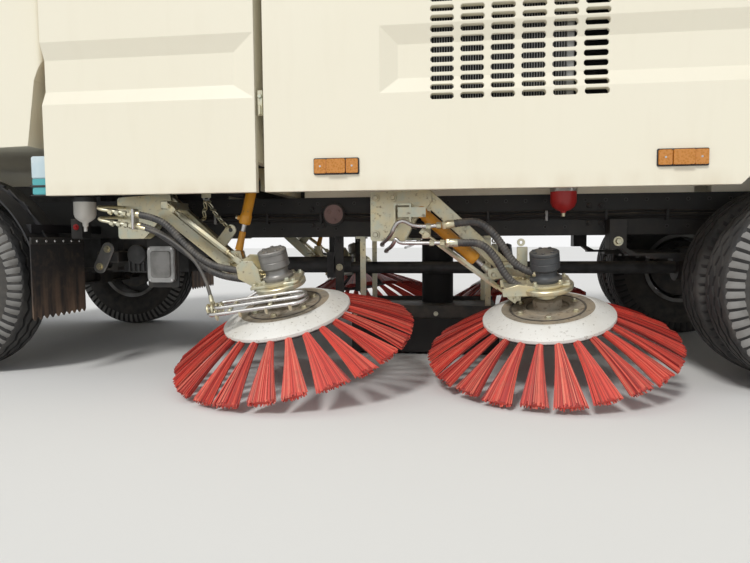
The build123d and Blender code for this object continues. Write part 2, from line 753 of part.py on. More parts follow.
# Tailgate over the hopper's open end, hinged along the top.
tailgate_x = (hopper_x[1] + moving_gap, hopper_x[1] + 66)
with BuildPart() as tailgate:
    with BuildSketch(Plane.YZ.offset(tailgate_x[0])):
        with BuildLine():
            Polyline(
                (-side_y, hopper_floor_z - 60),
                (-side_y, hopper_roof_z - 110),
                (-side_y + 110, hopper_roof_z),
                (0, hopper_roof_z),
                (0, hopper_floor_z - 60),
                close=True,
            )
        make_face()
    extrude(amount=tailgate_x[1] - tailgate_x[0])
    mirror(about=Plane.XZ)
    for y in tail_hinges_y:
        with BuildSketch(Plane.XZ.offset(-y - tail_eye_half)):
            with Locations((tail_hinge_x, tail_hinge_z)):
                Circle(tail_eye_radius)
            with BuildLine():
                Polyline(
                    (tailgate_x[0], hopper_roof_z - 10),
                    (tail_hinge_x, tail_hinge_z),
                    (tail_hinge_x + tail_eye_radius, tail_hinge_z),
                    (tailgate_x[0] + 40, hopper_roof_z - 10),
                    close=True,
                )
            make_face()
            with Locations((tail_hinge_x, tail_hinge_z)):
                Circle(tail_pin_radius + pin_clearance, mode=Mode.SUBTRACT)
        extrude(amount=2 * tail_eye_half)
nodes["tailgate"] = tailgate


# Rams: each barrel has an eye at its base, and each rod an eye at its far end.
tip_ram_ends = ((tip_ram_base[0], 0, tip_ram_base[1]), (tip_ram_eye[0], 0, tip_ram_eye[1]))
ram_rows = (
    # name, base, eye, barrel and rod radius, barrel length, where the rod starts inside it,
    # half width of the base eye, radius of the rod eye's bore
    ("tip", *tip_ram_ends, 38, 20, 255, 46, 15, 0),
    ("brush_front_left", (-830, -860, 930), (-920, -860, 560), 24, 11, 235, 142, 24, 13),
    ("brush_rear_left", (-70, -800, 750), (250, -800, 468), 27, 11, 330, 60, 27, 13),
)
rod_clearance = 0.25
ram_eye_bore = 13
rod_eye_radius = 26
rod_eye_half = 12
neck_length = 32
barrel_bottom = 42
for name, base, eye, barrel_radius, rod_radius, barrel_length, rod_start, base_half, rod_bore in ram_rows:
    whole = reach(base, eye)
    with BuildPart() as barrel:
        with BuildSketch(heading(base, eye)):
            Circle(base_half)
        extrude(amount=neck_length + 4)
        with BuildSketch(heading(along(base, eye, neck_length / whole), eye)):
            Circle(barrel_radius)
        extrude(amount=barrel_length - neck_length)
        with BuildSketch(heading(along(base, eye, barrel_bottom / whole), eye)):
            Circle(rod_radius + rod_clearance)
        extrude(amount=barrel_length, mode=Mode.SUBTRACT)
        with Locations(Location(base, (90, 0, 0))):
            Cylinder(barrel_radius, 2 * base_half)
        with Locations(Location(base, (90, 0, 0))):
            Cylinder(ram_eye_bore, 2 * base_half + 10, mode=Mode.SUBTRACT)
    with BuildPart() as rod:
        with BuildSketch(heading(along(base, eye, rod_start / whole), eye)):
            Circle(rod_radius)
        extrude(amount=whole - rod_start - 18)
        with Locations(Location(eye, (90, 0, 0))):
            Cylinder(rod_eye_radius, 2 * rod_eye_half)
        if rod_bore:
            with Locations(Location(eye, (90, 0, 0))):
                Cylinder(rod_bore, 2 * rod_eye_half + 10, mode=Mode.SUBTRACT)
    nodes[name + "_barrel"] = barrel
    nodes[name + "_rod"] = rod
    if "left" in name:
        other = name.replace("left", "right")
        with BuildPart() as barrel_right:
            mirror(barrel.part, about=Plane.XZ)
        with BuildPart() as rod_right:
            mirror(rod.part, about=Plane.XZ)
        nodes[other + "_barrel"] = barrel_right
        nodes[other + "_rod"] = rod_right

# One tuft of bristles, in the brush's own frame with its axis along Z.
tuft_start = (tuft_root[0], 0, tuft_root[1])
tuft_end = (tuft_tip[0], 0, tuft_tip[1])
root_plane = heading(tuft_start, tuft_end)
with BuildPart() as tuft:
    with BuildSketch(root_plane):
        Rectangle(tuft_root_size[0], tuft_root_size[1])
    with BuildSketch(root_plane.offset(reach(tuft_start, tuft_end))):
        Rectangle(tuft_tip_size[0], tuft_tip_size[1])
    loft(ruled=True)

# A whole brush: bevelled plate, tuft ring and tufts.
with BuildPart() as brush_shape:
    with BuildSketch(Plane.XZ):
        with BuildLine():
            Polyline(
                (0, hub_top),
                (62, hub_top),
                (62, disc_thickness),
                (200, disc_thickness),
                (disc_radius, -24),
                (disc_radius, -36),
                (disc_radius - 12, -50),
                (200, -50),
                (190, 0),
                (0, 0),
                close=True,
            )
        make_face()
    revolve(axis=Axis.Z)
    with PolarLocations(0, tuft_count):
        add(tuft.part)

# What stands on each brush, in the brush's own frame: the spindle's housing,
# the seat plate and the stepped hydraulic motor.
head_height = 118
seat_thickness = 12
motor_section = (
    (0, hub_top),
    (25, hub_top),
    (25, hub_top + 8),
    (44, hub_top + 8),
    (44, head_height - 20),
    (112, head_height - 20),
    (112, head_height),
    (85, head_height),
    (85, head_height + 16),
    (66, head_height + 16),
    (66, head_height + 28),
    (47, head_height + 42),
    (47, head_height + 60),
    (60, head_height + 70),
    (60, head_height + 138),
    (54, head_height + 144),
    (0, head_height + 144),
)
with BuildPart() as motor_unit:
    with BuildSketch(Plane.XZ):
        with BuildLine():
            Polyline(*motor_section, close=True)
        make_face()
    revolve(axis=Axis.Z)

# Plates between each head channel and its motor, in the same frame. The front
# one has upright gussets beside the motor, and the rear one low side cheeks.
seat_rows = (
    # brush, seat plate outline, cheek outline as (x, height), cheek mid y and thickness
    (
        "front",
        ((-105, -75), (85, -75), (100, -55), (100, 55), (85, 75), (-105, 75)),
        ((-100, 124), (-60, 124), (-60, 199), (-75, 234), (-115, 242), (-150, 224), (-155, 169)),
        47,
        6,
    ),
    (
        "rear",
        ((-175, -40), (-80, -62), (85, -62), (98, -45), (98, 45), (85, 62), (-80, 62), (-175, 40)),
        ((-185, 98), (-60, 90), (10, 104), (10, 118), (-60, 132), (-120, 144), (-185, 132)),
        62,
        8,
    ),
)
seats = {}
for name, outline, cheek_outline, cheek_mid_y, cheek_thickness in seat_rows:
    with BuildPart() as seat:
        with BuildSketch(Plane.XY.offset(head_height)):
            with BuildLine():
                Polyline(*outline, close=True)
            make_face()
        extrude(amount=seat_thickness)
        for y in (-cheek_mid_y, cheek_mid_y):
            with BuildSketch(Plane.XZ.offset(-y - cheek_thickness / 2)):
                with BuildLine():
                    Polyline(*cheek_outline, close=True)
                make_face()
            extrude(amount=cheek_thickness)
    seats[name] = seat

# Brush arms. The pivot is where the arm meets its bracket, and the knee is
# where it turns outwards to the brush's head.
pivot_half = 24
cheek_gap = 6
channel_wall = 6
arm_pin_radius = 14
pivot_eye_radius = 30
ram_lug_reach = 22
ram_lug_thickness = 10
stay_rod_radius = 7.5
stay_sleeve_radius = 13.5
stay_sleeve_share = (0.17, 0.80)
stay_eye_radius = 13
stay_eye_width = 24
brush_rows = (
    # name, plate centre, lean (x, y), pivot, knee, ram eye, first lift channel's width and height
    (
        "front",
        (-640, -1060, 342),
        (-0.158, -0.268),
        (-1300, -760, 830),
        (-940, -760, 500),
        (-920, -860, 560),
        46,
        60,
    ),
    (
        "rear",
        (470, -950, 326),
        (-0.105, -0.249),
        (-60, -720, 835),
        (300, -720, 505),
        (250, -800, 468),
        46,
        66,
    ),
)
head_channel_rows = {
    # brush: where its head channel starts, its width and height
    "front": ((-975, -825, 505), 78, 48),
    "rear": ((312, -786, 478), 74, 46),
}
side_channel_rows = {
    # brush: start and end of a second lift channel beside the first, its width and height
    "front": ((-1262, -885, 772), (-940, -890, 510), 36, 50),
}
arm_bar_rows = (
    # brush, centre and size of each bar across the arm
    ("front", (-955, -825, 505), (40, 196, 46)),
    ("front", (-1215, -866, 790), (34, 216, 34)),
    ("front", (-865, -925, 500), (50, 140, 12)),
    ("front", (-861, -985, 516), (24, 20, 40)),
    ("rear", (315, -755, 500), (44, 110, 46)),
    ("rear", (-45, -738, 716), (30, 10, 150)),
    ("rear", (-50, -822, 645), (30, 166, 30)),
    ("rear", (345, -905, 405), (34, 56, 90)),
)
stay_rows = {
    # brush: the upper and lower eye of its stay
    "front": ((-1195, -965, 782), (-861, -985, 531)),
    "rear": ((-60, -895, 660), (335, -915, 365)),
}
for name, centre, lean, pivot, knee, ram_eye, lift_width, lift_height in brush_rows:
    axis = Vector(lean[0], lean[1], 1).normalized()
    head = tuple(Vector(*centre) + axis * (head_height - 14))
    deck = Plane(origin=centre, x_dir=Vector(1, 0, -axis.X / axis.Z), z_dir=axis)
    with BuildPart() as brush:
        with Locations(deck.location):
            add(brush_shape.part)
    with BuildPart() as arm:
        with Locations(deck.location):
            add(motor_unit.part)
            add(seats[name].part)
        add(channel(pivot, along(pivot, knee, 1.03), lift_width, lift_height, channel_wall))
        start, width, height = head_channel_rows[name]
        add(channel(start, head, width, height, channel_wall))
        if name in side_channel_rows:
            start, end, width, height = side_channel_rows[name]
            add(channel(start, end, width, height, channel_wall))
        for brush_name, place, size in arm_bar_rows:
            if brush_name == name:
                with Locations(place):
                    Box(*size)
        with Locations(Location(pivot, (90, 0, 0))):
            Cylinder(pivot_eye_radius, 2 * pivot_half)
        with Locations(Location(pivot, (90, 0, 0))):
            Cylinder(arm_pin_radius + pin_clearance, 2 * pivot_half + 10, mode=Mode.SUBTRACT)
        # Pin for the lift ram's rod eye, and the cheeks that hold it.
        with Locations(Location(ram_eye, (90, 0, 0))):
            Cylinder(ram_pin_radius, 2 * (rod_eye_half + cheek_gap + ram_lug_thickness))
        for offset in (-rod_eye_half - cheek_gap - ram_lug_thickness, rod_eye_half + cheek_gap):
            with BuildSketch(Plane.XZ.offset(-(ram_eye[1] + offset))):
                with BuildLine():
                    Polyline(
                        (ram_eye[0] - ram_lug_reach, ram_eye[2] - ram_lug_reach),
                        (ram_eye[0] - ram_lug_reach, ram_eye[2] + ram_lug_reach),
                        (ram_eye[0] + ram_lug_reach, ram_eye[2] + ram_lug_reach),
                        (knee[0] + 60, knee[2] + 10),
                        (knee[0] + 60, knee[2] - 34),
                        (knee[0], knee[2] - 34),
                        close=True,
                    )
                make_face()
            extrude(amount=-ram_lug_thickness)
        # The stay beside the arm, with its threaded rod, sleeve and eyes.
        upper, lower = stay_rows[name]
        with BuildSketch(heading(upper, lower)):
            Circle(stay_rod_radius)
        extrude(amount=reach(upper, lower))
        with BuildSketch(heading(along(upper, lower, stay_sleeve_share[0]), lower)):
            RegularPolygon(stay_sleeve_radius, 6)
        extrude(amount=(stay_sleeve_share[1] - stay_sleeve_share[0]) * reach(upper, lower))
        for place in (upper, lower):
            with Locations(Location(place, (90, 0, 0))):
                Cylinder(stay_eye_radius, stay_eye_width)
    with BuildPart() as brush_other:
        mirror(brush.part, about=Plane.XZ)
    with BuildPart() as arm_other:
        mirror(arm.part, about=Plane.XZ)
    nodes[f"brush_{name}_left"] = brush
    nodes[f"brush_{name}_right"] = brush_other
    nodes[f"brush_arm_{name}_left"] = arm
    nodes[f"brush_arm_{name}_right"] = arm_other

# Brackets that carry the arms, the rams' upper ends and the suction nozzle.
bracket_rows = (
    # arm pivot, outrigger x, z and outer y, ram base, the x of the beam that holds it, and the
    # outline of the arm's cheeks as (x, z) from the pivot
    (
        (-1300, -760, 830),
        -1395,
        755,
        -800,
        (-830, -860, 930),
        -768,
        ((-240, -190), (-240, 8), (30, 24), (34, -34), (-70, -150), (-110, -190)),
    ),
    (
        (-60, -720, 835),
        -155,
        735,
        -844,
        (-70, -800, 750),
        -155,
        ((-250, -215), (-250, 12), (30, 24), (34, -34), (-40, -120), (-90, -215)),
    ),
)
bracket_cheek = 10
cheek_corner = 14
outrigger_size = (80, 110)
outrigger_wall = 9
widest_ram_radius = 27
ram_cheek_height = 44
front_ram_beam_y = (340, 903)
front_ram_beam_width = 46
front_ram_beam_z = 935
nozzle_hangers_x = (-420, 260)
nozzle_hanger_y = 255
hanger_size = (30, 12)
hanger_foot = (50, 12)
with BuildPart() as brush_brackets:
    for pivot, out_x, out_z, out_y, ram_base, beam_x, cheek_outline in bracket_rows:
        add(channel((out_x, -rail_outer_y, out_z), (out_x, out_y, out_z), *outrigger_size, outrigger_wall))
        for side in (-1, 1):
            cheek_y = pivot[1] + side * (pivot_half + cheek_gap + bracket_cheek / 2)
            with BuildSketch(Plane.XZ.offset(-cheek_y - bracket_cheek / 2)) as cheek:
                with BuildLine():
                    Polyline(*[(pivot[0] + x, pivot[2] + z) for x, z in cheek_outline], close=True)
                make_face()
                fillet(cheek.vertices(), cheek_corner)
            extrude(amount=bracket_cheek)
            ram_cheek_y = ram_base[1] + side * (widest_ram_radius + cheek_gap + bracket_cheek / 2)
            with Locations(((ram_base[0] + beam_x) / 2, ram_cheek_y, ram_base[2])):
                Box(abs(ram_base[0] - beam_x) + 40, bracket_cheek, ram_cheek_height)
        with Locations(Location(pivot, (90, 0, 0))):
            Cylinder(arm_pin_radius, 2 * (pivot_half + cheek_gap + bracket_cheek))
        with Locations(Location(ram_base, (90, 0, 0))):
            Cylinder(ram_pin_radius, 2 * (widest_ram_radius + cheek_gap + bracket_cheek))
    # The front ram hangs from its own outrigger on top of the rail.
    with Locations((bracket_rows[0][5], -sum(front_ram_beam_y) / 2, (rail_top_z + front_ram_beam_z) / 2)):
        Box(front_ram_beam_width, front_ram_beam_y[1] - front_ram_beam_y[0], front_ram_beam_z - rail_top_z)
    # Hangers from the rails to the nozzle's top.
    foot_y = (nozzle_hanger_y - hanger_size[1] / 2, member_y - 42)
    for x in nozzle_hangers_x:
        with Locations((x, -nozzle_hanger_y, (nozzle_z[1] + rail_bottom_z) / 2)):
            Box(*hanger_size, rail_bottom_z - nozzle_z[1])
        with Locations((x, -sum(foot_y) / 2, rail_bottom_z - hanger_foot[1] / 2)):
            Box(hanger_foot[0], foot_y[1] - foot_y[0], hanger_foot[1])
    mirror(about=Plane.XZ)
nodes["brush_brackets"] = brush_brackets

# Knuckles: ears above and below the axle's eye, kingpin and stub axle.
ear_thickness = 24
ear_gap = 6
with BuildPart() as knuckle_left:
    for low in (eye_z[1] + ear_gap, eye_z[0] - ear_gap - ear_thickness):
        with Locations((front_axle_x, -kingpin_y - 30, low + ear_thickness / 2)):
            Box(70, 100, ear_thickness)
    with Locations((front_axle_x, -kingpin_y, sum(eye_z) / 2)):
        Cylinder(kingpin_radius, eye_z[1] - eye_z[0] + 2 * (ear_gap + ear_thickness))
    with Locations((front_axle_x, -kingpin_y - 60, tyre_radius)):
        Box(70, 30, eye_z[1] - eye_z[0] + 2 * (ear_gap + ear_thickness))
    with Locations(Location((front_axle_x, -kingpin_y - 84, tyre_radius), (90, 0, 0))):
        Cylinder(150, 18)
with BuildPart() as knuckle_right:
    mirror(knuckle_left.part, about=Plane.XZ)
nodes["knuckle_left"] = knuckle_left
nodes["knuckle_right"] = knuckle_right

# Tyre section, as (distance from the tyre's mid plane, radius).
half = tyre_width / 2
tyre_section = (
    (-86, rim_radius),
    (-92, rim_radius + 21),
    (-half, 305),
    (-half, 345),
    (-103, tyre_radius - 18),
    (-84, tyre_radius),
    (84, tyre_radius),
    (103, tyre_radius - 18),
    (half, 345),
    (half, 305),
    (92, rim_radius + 21),
    (86, rim_radius),
)
rim_inner = rim_radius - rim_wall
barrel_section = (
    (-rim_half_width, rim_inner),
    (-rim_half_width, rim_radius + 12),
    (-rim_half_width + 6, rim_radius + 12),
    (-rim_half_width + 6, rim_radius),
    (rim_half_width - 6, rim_radius),
    (rim_half_width - 6, rim_radius + 12),
    (rim_half_width, rim_radius + 12),
    (rim_half_width, rim_inner),
)
hand_holes = 6
hand_hole_radius = 24
with BuildPart() as front_tyre_left:
    with BuildSketch(wheel_plane(front_axle_x, -front_track_y)):
        with BuildLine():
            Polyline(*tyre_section, close=True)
        make_face()
    revolve(axis=axle_axis(front_axle_x))
with BuildPart() as front_rim_left:
    with BuildSketch(wheel_plane(front_axle_x, -front_track_y)):
        with BuildLine():
            Polyline(*barrel_section, close=True)
        make_face()
        with BuildLine():
            Polyline(
                (-60, rim_inner + 2),
                (-48, rim_inner + 2),
                (-8, hub_radius),
                (-20, hub_radius),
                close=True,
            )
        make_face()
        with BuildLine():
            Polyline(
                (-95, 0),
                (-95, 60),
                (-20, 68),
                (-20, hub_radius + 2),
                (20, hub_radius + 2),
                (47, 60),
                (47, 0),
                close=True,
            )
        make_face()
    revolve(axis=axle_axis(front_axle_x))
    with Locations(Location((front_axle_x, -front_track_y, tyre_radius), (90, 0, 0))):
        with PolarLocations((rim_inner + hub_radius) / 2, hand_holes):
            Cylinder(hand_hole_radius, 160, mode=Mode.SUBTRACT)
with BuildPart() as rear_tyres_left:
    for y in (-dual_mid_y - dual_spread, -dual_mid_y + dual_spread):
        with BuildSketch(wheel_plane(rear_axle_x, y)):
            with BuildLine():
                Polyline(*tyre_section, close=True)
            make_face()
        revolve(axis=axle_axis(rear_axle_x))
with BuildPart() as rear_rims_left:
    for y in (-dual_mid_y - dual_spread, -dual_mid_y + dual_spread):
        with BuildSketch(wheel_plane(rear_axle_x, y)):
            with BuildLine():
                Polyline(*barrel_section, close=True)
            make_face()
        revolve(axis=axle_axis(rear_axle_x))
    with BuildSketch(wheel_plane(rear_axle_x, -dual_mid_y)):
        for side in (-1, 1):
            with BuildLine():
                Polyline(
                    (side * 37, rim_inner + 2),
                    (side * 49, rim_inner + 2),
                    (side * 12, 140),
                    (side * 12, 90),
                    (0, 90),
                    (0, 140),
                    close=True,
                )
            make_face()
        with BuildLine():
            Polyline(
                (-170, 0),
                (-170, 55),
                (-150, 70),
                (-12, 75),
                (-12, 95),
                (12, 95),
                (12, 80),
                (80, 80),
                (80, 0),
                close=True,
            )
        make_face()
    revolve(axis=axle_axis(rear_axle_x))
    with Locations(Location((rear_axle_x, -dual_mid_y, tyre_radius), (90, 0, 0))):
        with PolarLocations((rim_inner + 140) / 2, hand_holes):
            Cylinder(hand_hole_radius, 160, mode=Mode.SUBTRACT)
for name, left in (
    ("front_tyre", front_tyre_left),
    ("front_rim", front_rim_left),
    ("rear_tyres", rear_tyres_left),
    ("rear_rims", rear_rims_left),
):
    with BuildPart() as right:
        mirror(left.part, about=Plane.XZ)
    nodes[name + "_left"] = left
    nodes[name + "_right"] = right

# Cab outline in side view, from the lower front corner clockwise.
cab_deck_z = cab_floor_z + 90
cab_outline = (
    (-3490, 720),
    (-3500, 1320),
    (-3395, 2200),
    (-3270, 2370),
    (-3000, 2400),
    (-1830, 2400),
    (-1753, 2320),
    (-1753, 1440),
    (-1790, 1350),
    (-1834, 1060),
    (-2600, 1040),
    (-2800, 900),
    (-2880, 720),
)
cab_cavity = (
    (-3459, 1320),
    (-3356, 2185),
    (-3250, 2332),
    (-2996, 2360),
    (-1846, 2360),
    (-1793, 2304),
    (-1793, 1440),
    (-1829, 1355),
    (-1869, cab_deck_z),
    (-3455, cab_deck_z),
)
door_outline = (
    (-3270, 800),
    (-2930, 800),
    (-2800, 1040),
    (-2250, 1060),
    (-2250, 2230),
    (-3150, 2230),
    (-3270, 1500),
)
door_opening = (
    (-3276, 794),
    (-2926, 794),
    (-2796, 1034),
    (-2244, 1054),
    (-2244, 2236),
    (-3155, 2236),
    (-3276, 1501),
)
window_outline = (
    (-3215, 1500),
    (-2310, 1500),
    (-2310, 2160),
    (-3110, 2160),
)
windscreen_line = ((-3500, 1320), (-3395, 2200))


def screen_x(z):
    """The windscreen's outer surface at a height."""
    (x_low, z_low), (x_high, z_high) = windscreen_line
    return x_low + (x_high - x_low) * (z - z_low) / (z_high - z_low)


cab_nose_radius = 190
cab_crown_radius = 70
cab_side_radius = 26
with BuildPart() as cab_shell:
    with BuildSketch(Plane.XZ) as cab_side:
        with BuildLine():
            Polyline(*cab_outline, close=True)
        make_face()
        corners = cab_side.vertices()
        fillet([c for c in corners if c.Y > 2150 and c.X < -2500], cab_nose_radius)
        fillet([c for c in cab_side.vertices() if c.Y > 2150 and c.X > -2000], cab_crown_radius)
    extrude(amount=cab_half_width, both=True)
    # The side skins roll over into the front, roof and back.
    for side in (-1, 1):
        skin = cab_shell.faces().sort_by(Axis.Y)[0 if side < 0 else -1]
        fillet([edge for edge in skin.edges() if edge.center().Z > 1400], cab_side_radius)
    with BuildSketch(Plane.XZ):
        with BuildLine():
            Polyline(*cab_cavity, close=True)
        make_face()
    extrude(amount=cab_inner_y, both=True, mode=Mode.SUBTRACT)
    # The floor's underside is open between the side skins.
    with Locations((-2500, 0, cab_floor_z + cab_floor_thickness - 250)):
        Box(1920, 2 * cab_inner_y, 500, mode=Mode.SUBTRACT)
    # Door openings, windscreen and rear window.
    for inner_y in (cab_inner_y, -cab_half_width):
        with BuildSketch(Plane.XZ.offset(inner_y)):
            with BuildLine():
                Polyline(*door_opening, close=True)
            make_face()
        extrude(amount=cab_wall, mode=Mode.SUBTRACT)
    with BuildSketch(Plane.XZ):
        with BuildLine():
            Polyline(
                (screen_x(windscreen_z[0]) - 30, windscreen_z[0]),
                (screen_x(windscreen_z[0]) + 80, windscreen_z[0]),
                (screen_x(windscreen_z[1]) + 80, windscreen_z[1]),
                (screen_x(windscreen_z[1]) - 30, windscreen_z[1]),
                close=True,
            )
        make_face()
    extrude(amount=windscreen_half_width, both=True, mode=Mode.SUBTRACT)
    with Locations((-1773, 0, sum(rear_window_z) / 2)):
        Box(80, 2 * rear_window_half_width, rear_window_z[1] - rear_window_z[0], mode=Mode.SUBTRACT)
    # Tilt lugs under the floor, round the frame's tube.
    for side in (-1, 1):
        with Locations((cab_tilt_x, side * sum(tilt_lug_y) / 2, (cab_tilt_z + cab_floor_z + 60) / 2)):
            Box(70, tilt_lug_y[1] - tilt_lug_y[0], cab_floor_z + 60 - cab_tilt_z)
        with Locations(Location((cab_tilt_x, side * sum(tilt_lug_y) / 2, cab_tilt_z), (90, 0, 0))):
            Cylinder(tilt_tube_radius + 12, tilt_lug_y[1] - tilt_lug_y[0])
            Cylinder(tilt_tube_radius + pin_clearance, 60, mode=Mode.SUBTRACT)
    # Knuckles and pins of the door hinges.
    for z in door_hinges_z:
        for side in (-1, 1):
            for end in (-1, 1):
                with Locations((door_hinge_x, side * door_hinge_y, z + end * 32)):
                    Cylinder(8, 24)
                with Locations((door_hinge_x - 25, side * (cab_half_width + 4), z + end * 32)):
                    Box(44, 8, 24)
            with Locations((door_hinge_x, side * door_hinge_y, z)):
                Cylinder(4, 88)
nodes["cab_shell"] = cab_shell

with BuildPart() as cab_glass:
    with BuildSketch(Plane.XZ):
        with BuildLine():
            Polyline(
                (screen_x(windscreen_z[0]) + 15, windscreen_z[0]),
                (screen_x(windscreen_z[0]) + 15 + windscreen_thickness, windscreen_z[0]),
                (screen_x(windscreen_z[1]) + 15 + windscreen_thickness, windscreen_z[1]),
                (screen_x(windscreen_z[1]) + 15, windscreen_z[1]),
                close=True,
            )
        make_face()
    extrude(amount=windscreen_half_width, both=True)
    with Locations((-1773, 0, sum(rear_window_z) / 2)):
        Box(windscreen_thickness, 2 * rear_window_half_width, rear_window_z[1] - rear_window_z[0])
nodes["cab_glass"] = cab_glass

with BuildPart() as cab_door_left:
    with BuildSketch(Plane.XZ.offset(cab_inner_y)):
        with BuildLine():
            Polyline(*door_outline, close=True)
        make_face()
    extrude(amount=cab_wall)
    with BuildSketch(Plane.XZ.offset(cab_inner_y - 5)):
        with BuildLine():
            Polyline(*window_outline, close=True)
        make_face()
    extrude(amount=cab_wall + 10, mode=Mode.SUBTRACT)
    for z in door_hinges_z:
        with Locations((door_hinge_x, -door_hinge_y, z)):
            Cylinder(8, 36)
        with Locations((door_hinge_x + 25, -cab_half_width - 4, z)):
            Box(44, 8, 36)
        with Locations((door_hinge_x, -door_hinge_y, z)):
            Cylinder(4.5, 40, mode=Mode.SUBTRACT)
with BuildPart() as door_glass_left:
    with BuildSketch(Plane.XZ.offset(cab_inner_y + 14)):
        with BuildLine():
            Polyline(*window_outline, close=True)
        make_face()
    extrude(amount=5)
for name, left in (("cab_door", cab_door_left), ("door_glass", door_glass_left)):
    with BuildPart() as right:
        mirror(left.part, about=Plane.XZ)
    nodes[name + "_left"] = left
    nodes[name + "_right"] = right

# Seats, dashboard and steering wheel on the cab's floor.
seat_width = 460
seat_margin = 190
seat_ys = (-cab_inner_y + seat_margin + seat_width / 2, 0, cab_inner_y - seat_margin - seat_width / 2)
dash_margin = 30
seat_side = (
    # the seat's side outline, as (x, height above the deck)
    (-2790, 0),
    (-2800, 330),
    (-2760, 380),
    (-2400, 350),
    (-2330, 900),
    (-2290, 930),
    (-2230, 900),
    (-2240, 300),
    (-2320, 0),
)
dash_side = (
    # the dashboard's side outline, as (x, height above the deck)
    (-3437, 0),
    (-3437, 310),
    (-3400, 340),
    (-3260, 330),
    (-3200, 270),
    (-3240, 170),
    (-3210, 60),
    (-3230, 0),
)
steering_rim = (190, 215)
steering_spoke = 50
with BuildPart() as cab_interior:
    for y in seat_ys:
        with BuildSketch(Plane.XZ.offset(-y - seat_width / 2)):
            with BuildLine():
                Polyline(*[(x, cab_deck_z + z) for x, z in seat_side], close=True)
            make_face()
        extrude(amount=seat_width)
    with BuildSketch(Plane.XZ):
        with BuildLine():
            Polyline(*[(x, cab_deck_z + z) for x, z in dash_side], close=True)
        make_face()
    extrude(amount=cab_inner_y - dash_margin, both=True)
    column = ((-3250, seat_ys[0], cab_deck_z + 250), (-3010, seat_ys[0], cab_deck_z + 480))
    with BuildSketch(heading(*column)):
        Circle(28)
    extrude(amount=reach(*column))
    with BuildSketch(heading(*column).offset(reach(*column) - 20)):
        Circle(steering_rim[1])
        Circle(steering_rim[0], mode=Mode.SUBTRACT)
        Rectangle(steering_spoke, 2 * steering_rim[0] + 20)
    extrude(amount=24)
nodes["cab_interior"] = cab_interior

# Mirrors on the cab's front corners, each on two arms.
mirror_x = -3370
mirror_size = (60, 170, 400)
mirror_corner = 22
mirror_mid_z = 1760
mirror_arms_z = (1600, 1920)
mirror_arm_length = 110
mirror_arm_size = 30
with BuildPart() as mirrors:
    with BuildSketch(Plane.XZ.offset(cab_half_width + mirror_arm_length - 10)):
        with Locations((mirror_x, mirror_mid_z)):
            RectangleRounded(mirror_size[0], mirror_size[2], mirror_corner)
    extrude(amount=mirror_size[1])
    for z in mirror_arms_z:
        with Locations((mirror_x, -cab_half_width - mirror_arm_length / 2, z)):
            Box(mirror_arm_size, mirror_arm_length, mirror_arm_size)
    mirror(about=Plane.XZ)
nodes["mirrors"] = mirrors

os.makedirs("parts", exist_ok=True)
for label, piece in nodes.items():
    piece.part.label = label
    export_step(piece.part, f"parts/{label}.step")
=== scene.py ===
import random
from math import atan2, cos, exp, pi, radians, sin, sqrt, tau

import bmesh
import bpy
from mathutils import Matrix, Vector


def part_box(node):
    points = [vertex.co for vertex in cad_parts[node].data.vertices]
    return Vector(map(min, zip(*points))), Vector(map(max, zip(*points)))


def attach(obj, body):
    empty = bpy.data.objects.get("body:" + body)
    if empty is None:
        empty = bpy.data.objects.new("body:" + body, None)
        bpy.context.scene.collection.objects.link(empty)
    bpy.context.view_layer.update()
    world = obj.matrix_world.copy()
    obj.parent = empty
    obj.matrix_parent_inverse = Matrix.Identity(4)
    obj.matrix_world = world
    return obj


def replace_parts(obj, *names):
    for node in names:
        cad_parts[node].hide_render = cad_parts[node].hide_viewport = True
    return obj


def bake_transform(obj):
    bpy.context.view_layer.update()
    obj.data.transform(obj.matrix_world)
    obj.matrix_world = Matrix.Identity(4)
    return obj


# The looks of a four-brush street sweeper. Metres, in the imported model's frame:
# +X to the rear, +Y to the truck's right, +Z up, ground at z = 0.
# Pieces are drawn on the truck's left, and mirrored for its right.
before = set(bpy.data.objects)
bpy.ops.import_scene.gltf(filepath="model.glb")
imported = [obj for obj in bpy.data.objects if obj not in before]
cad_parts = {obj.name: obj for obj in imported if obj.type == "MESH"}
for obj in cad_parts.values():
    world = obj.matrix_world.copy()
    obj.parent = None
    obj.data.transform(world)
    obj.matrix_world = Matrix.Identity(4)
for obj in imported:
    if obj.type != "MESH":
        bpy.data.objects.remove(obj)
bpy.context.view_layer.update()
rng = random.Random(11)

AXLE_Z = 0.43
FRONT_AXLE_X, REAR_AXLE_X = -2.35, 1.55
HERE = Matrix.Identity(4)
SIDES = (("left", HERE), ("right", Matrix.Diagonal((1, -1, 1, 1))))
LEFT_ONLY = SIDES[:1]
UP, REAR, LEFT, ACROSS = (0, 0, 1), (1, 0, 0), (0, -1, 0), (0, 1, 0)


